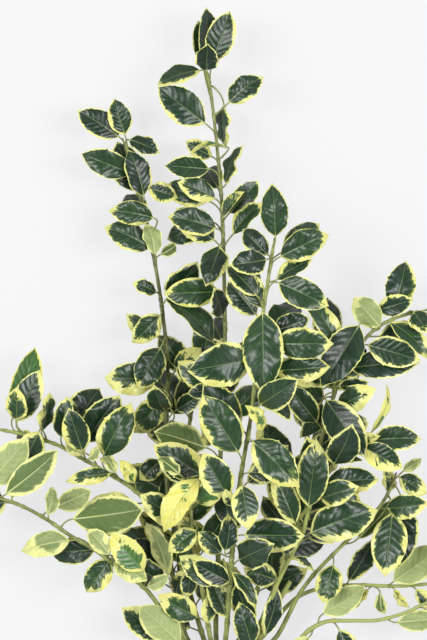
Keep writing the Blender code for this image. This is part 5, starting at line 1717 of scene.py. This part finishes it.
class MakeStems(bpy.types.Operator):
    """Make the stems with their nodes, buds and pale cut ends"""

    bl_idname = "holly.make_stems"
    bl_label = "Stems"

    def execute(self, context):
        settings = context.scene.holly_stems
        shared = {"old": settings.bark_olive, "speck": settings.lenticel,
                  "sunned": settings.lenticel}
        values = {
            "Sides": settings.sides, "Ridges": settings.ridges, "Bud length": settings.bud,
            "Bark": green_wood("stem_bark", settings.bark_green, scale=1.0, speckle=0.7,
                               **shared),
            "Bud scales": green_wood("bud_scales", settings.bud_brown, scale=1.6, speckle=0.1,
                                     **shared),
            "Cut face": cut_wood(settings),
        }
        tree = stem_tree(values)
        for name in STEMS:
            source = stem_points(name, leaves_of(name), settings)
            piece = grown(name + "_bark", source, tree, values, ("grain", "sunlit"))
            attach(piece, "root")
            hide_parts(name + "_stem")
        return {"FINISHED"}


class MakeTie(bpy.types.Operator):
    """Make the raffia that is wound round the stems, with its tucked knot"""

    bl_idname = "holly.make_tie"
    bl_label = "Raffia tie"

    def execute(self, context):
        settings = context.scene.holly_tie
        values = {"Width": settings.strand, "Thickness": settings.strand_thickness,
                  "Fibre": raffia_finish(settings)}
        piece = grown("raffia_wrapping", tie_lines(settings), tie_tree(values), values,
                      ("strand",))
        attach(piece, "root")
        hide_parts("raffia_tie")
        return {"FINISHED"}


VIEW_MIDDLE = (-8.5, 380.0, 80.0)  # what the camera looks at, in the tables' millimetres
SENSOR = 36.0  # millimetres, width of the camera's sensor
FLOOR_SIDE = 24.0  # metres, as are the lights' places and sizes
SIDE_LIGHTS = ((-2.0, 0.5), (2.0, 0.2))
LIGHT_HEIGHT = 3.0
LIGHT_SIZE = (1.3, 2.2)
FARTHEST = 100.0  # metres, that the camera sees
FLOOR_GLOW = (1.5, 2.3)  # on the bunch, and as it is seen
FLOOR_SHADE = 0.55  # of the floor's colour, where light falls on it
FLOOR_DRIFT = 0.985  # the darker patches against the paler
OVERHEAD = (0.45, 0.95, 0.12)  # height of a direction where it dims, where it is dim, how dim


def floor_finish(settings):
    found, tree, shader = new_material("pale_floor", roughness=0.9, specular=0.1)
    pale = dimmed(settings.floor_colour, FLOOR_SHADE)
    drift = noise(tree, coordinates(tree), 0.7)
    seen = Wire(tree, tree.nodes.new("ShaderNodeLightPath").outputs["Is Camera Ray"])
    fill(tree, shader, Base_Color=mixed(tree, drift, pale, dimmed(pale, FLOOR_DRIFT)),
         Emission_Color=opaque(settings.floor_colour),
         Emission_Strength=seen * (FLOOR_GLOW[1] - FLOOR_GLOW[0]) + FLOOR_GLOW[0])
    return found


def soft_room(settings):
    """A world that is brighter towards the walls than overhead."""
    world = bpy.data.worlds.new("soft_room")
    world.use_nodes = True
    tree = world.node_tree
    low, high, dim = OVERHEAD
    bright = abs(coordinates(tree, "Generated").part("Z")).ramp(low, high, 1.0, dim)
    fill(tree, tree.nodes["Background"], Color=(1.0, 1.0, 1.0, 1.0),
         Strength=bright * settings.fill_light)
    return world


class MakeStage(bpy.types.Operator):
    """Make the pale floor, the soft lights and the camera that looks down on the bunch"""

    bl_idname = "holly.make_stage"
    bl_label = "Stage"

    def execute(self, context):
        settings = context.scene.holly_stage
        scene = context.scene
        half = FLOOR_SIDE / 2
        mesh = bpy.data.meshes.new("floor")
        mesh.from_pydata([(-half, -half, 0.0), (half, -half, 0.0), (half, half, 0.0),
                          (-half, half, 0.0)], [], [(0, 1, 2, 3)])
        mesh.materials.append(floor_finish(settings))
        floor = linked("floor", mesh)
        middle = placed(VIEW_MIDDLE)
        for number, (x, y) in enumerate(SIDE_LIGHTS):
            light = bpy.data.lights.new(f"side_light_{number + 1}", "AREA")
            light.shape = "RECTANGLE"
            light.size, light.size_y = LIGHT_SIZE
            light.energy = settings.soft_light
            lamp = linked(light.name, light)
            lamp.location = (x, y, LIGHT_HEIGHT)
            aim = middle - lamp.location
            lamp.rotation_euler = aim.to_track_quat("-Z", "Y").to_euler()
        scene.world = soft_room(settings)
        data = bpy.data.cameras.new("overhead_camera")
        data.sensor_width = SENSOR
        data.lens = SENSOR * settings.camera_height / settings.view_height
        data.clip_end = FARTHEST
        camera = linked("overhead_camera", data)
        camera.location = middle + UP * settings.camera_height
        scene.camera = camera
        scene.view_settings.view_transform = "Standard"
        return {"FINISHED"}


OPERATORS = (MakeLeaves, MakeStems, MakeTie, MakeStage)
SETTINGS = (
    ("holly_leaves", HollyLeafSettings),
    ("holly_stems", HollyStemSettings),
    ("holly_tie", HollyTieSettings),
    ("holly_stage", HollyStageSettings),
)


class HollyPanel(bpy.types.Panel):
    """The makers of the holly bunch and their settings"""

    bl_idname = "VIEW3D_PT_holly"
    bl_label = "Variegated holly"
    bl_space_type = "VIEW_3D"
    bl_region_type = "UI"
    bl_category = "Holly"

    def draw(self, context):
        for operator, (name, kind) in zip(OPERATORS, SETTINGS):
            box = self.layout.box()
            box.operator(operator.bl_idname)
            group = getattr(context.scene, name)
            for setting in kind.__annotations__:
                box.prop(group, setting)


def register():
    for name, kind in SETTINGS:
        bpy.utils.register_class(kind)
        setattr(bpy.types.Scene, name, PointerProperty(type=kind))
    for kind in (*OPERATORS, HollyPanel):
        bpy.utils.register_class(kind)


def unregister():
    for kind in (HollyPanel, *OPERATORS):
        bpy.utils.unregister_class(kind)
    for name, kind in SETTINGS:
        delattr(bpy.types.Scene, name)
        bpy.utils.unregister_class(kind)


def main():
    register()
    bpy.ops.holly.make_leaves()
    bpy.ops.holly.make_stems()
    bpy.ops.holly.make_tie()
    bpy.ops.holly.make_stage()


if __name__ == "__main__":
    main()
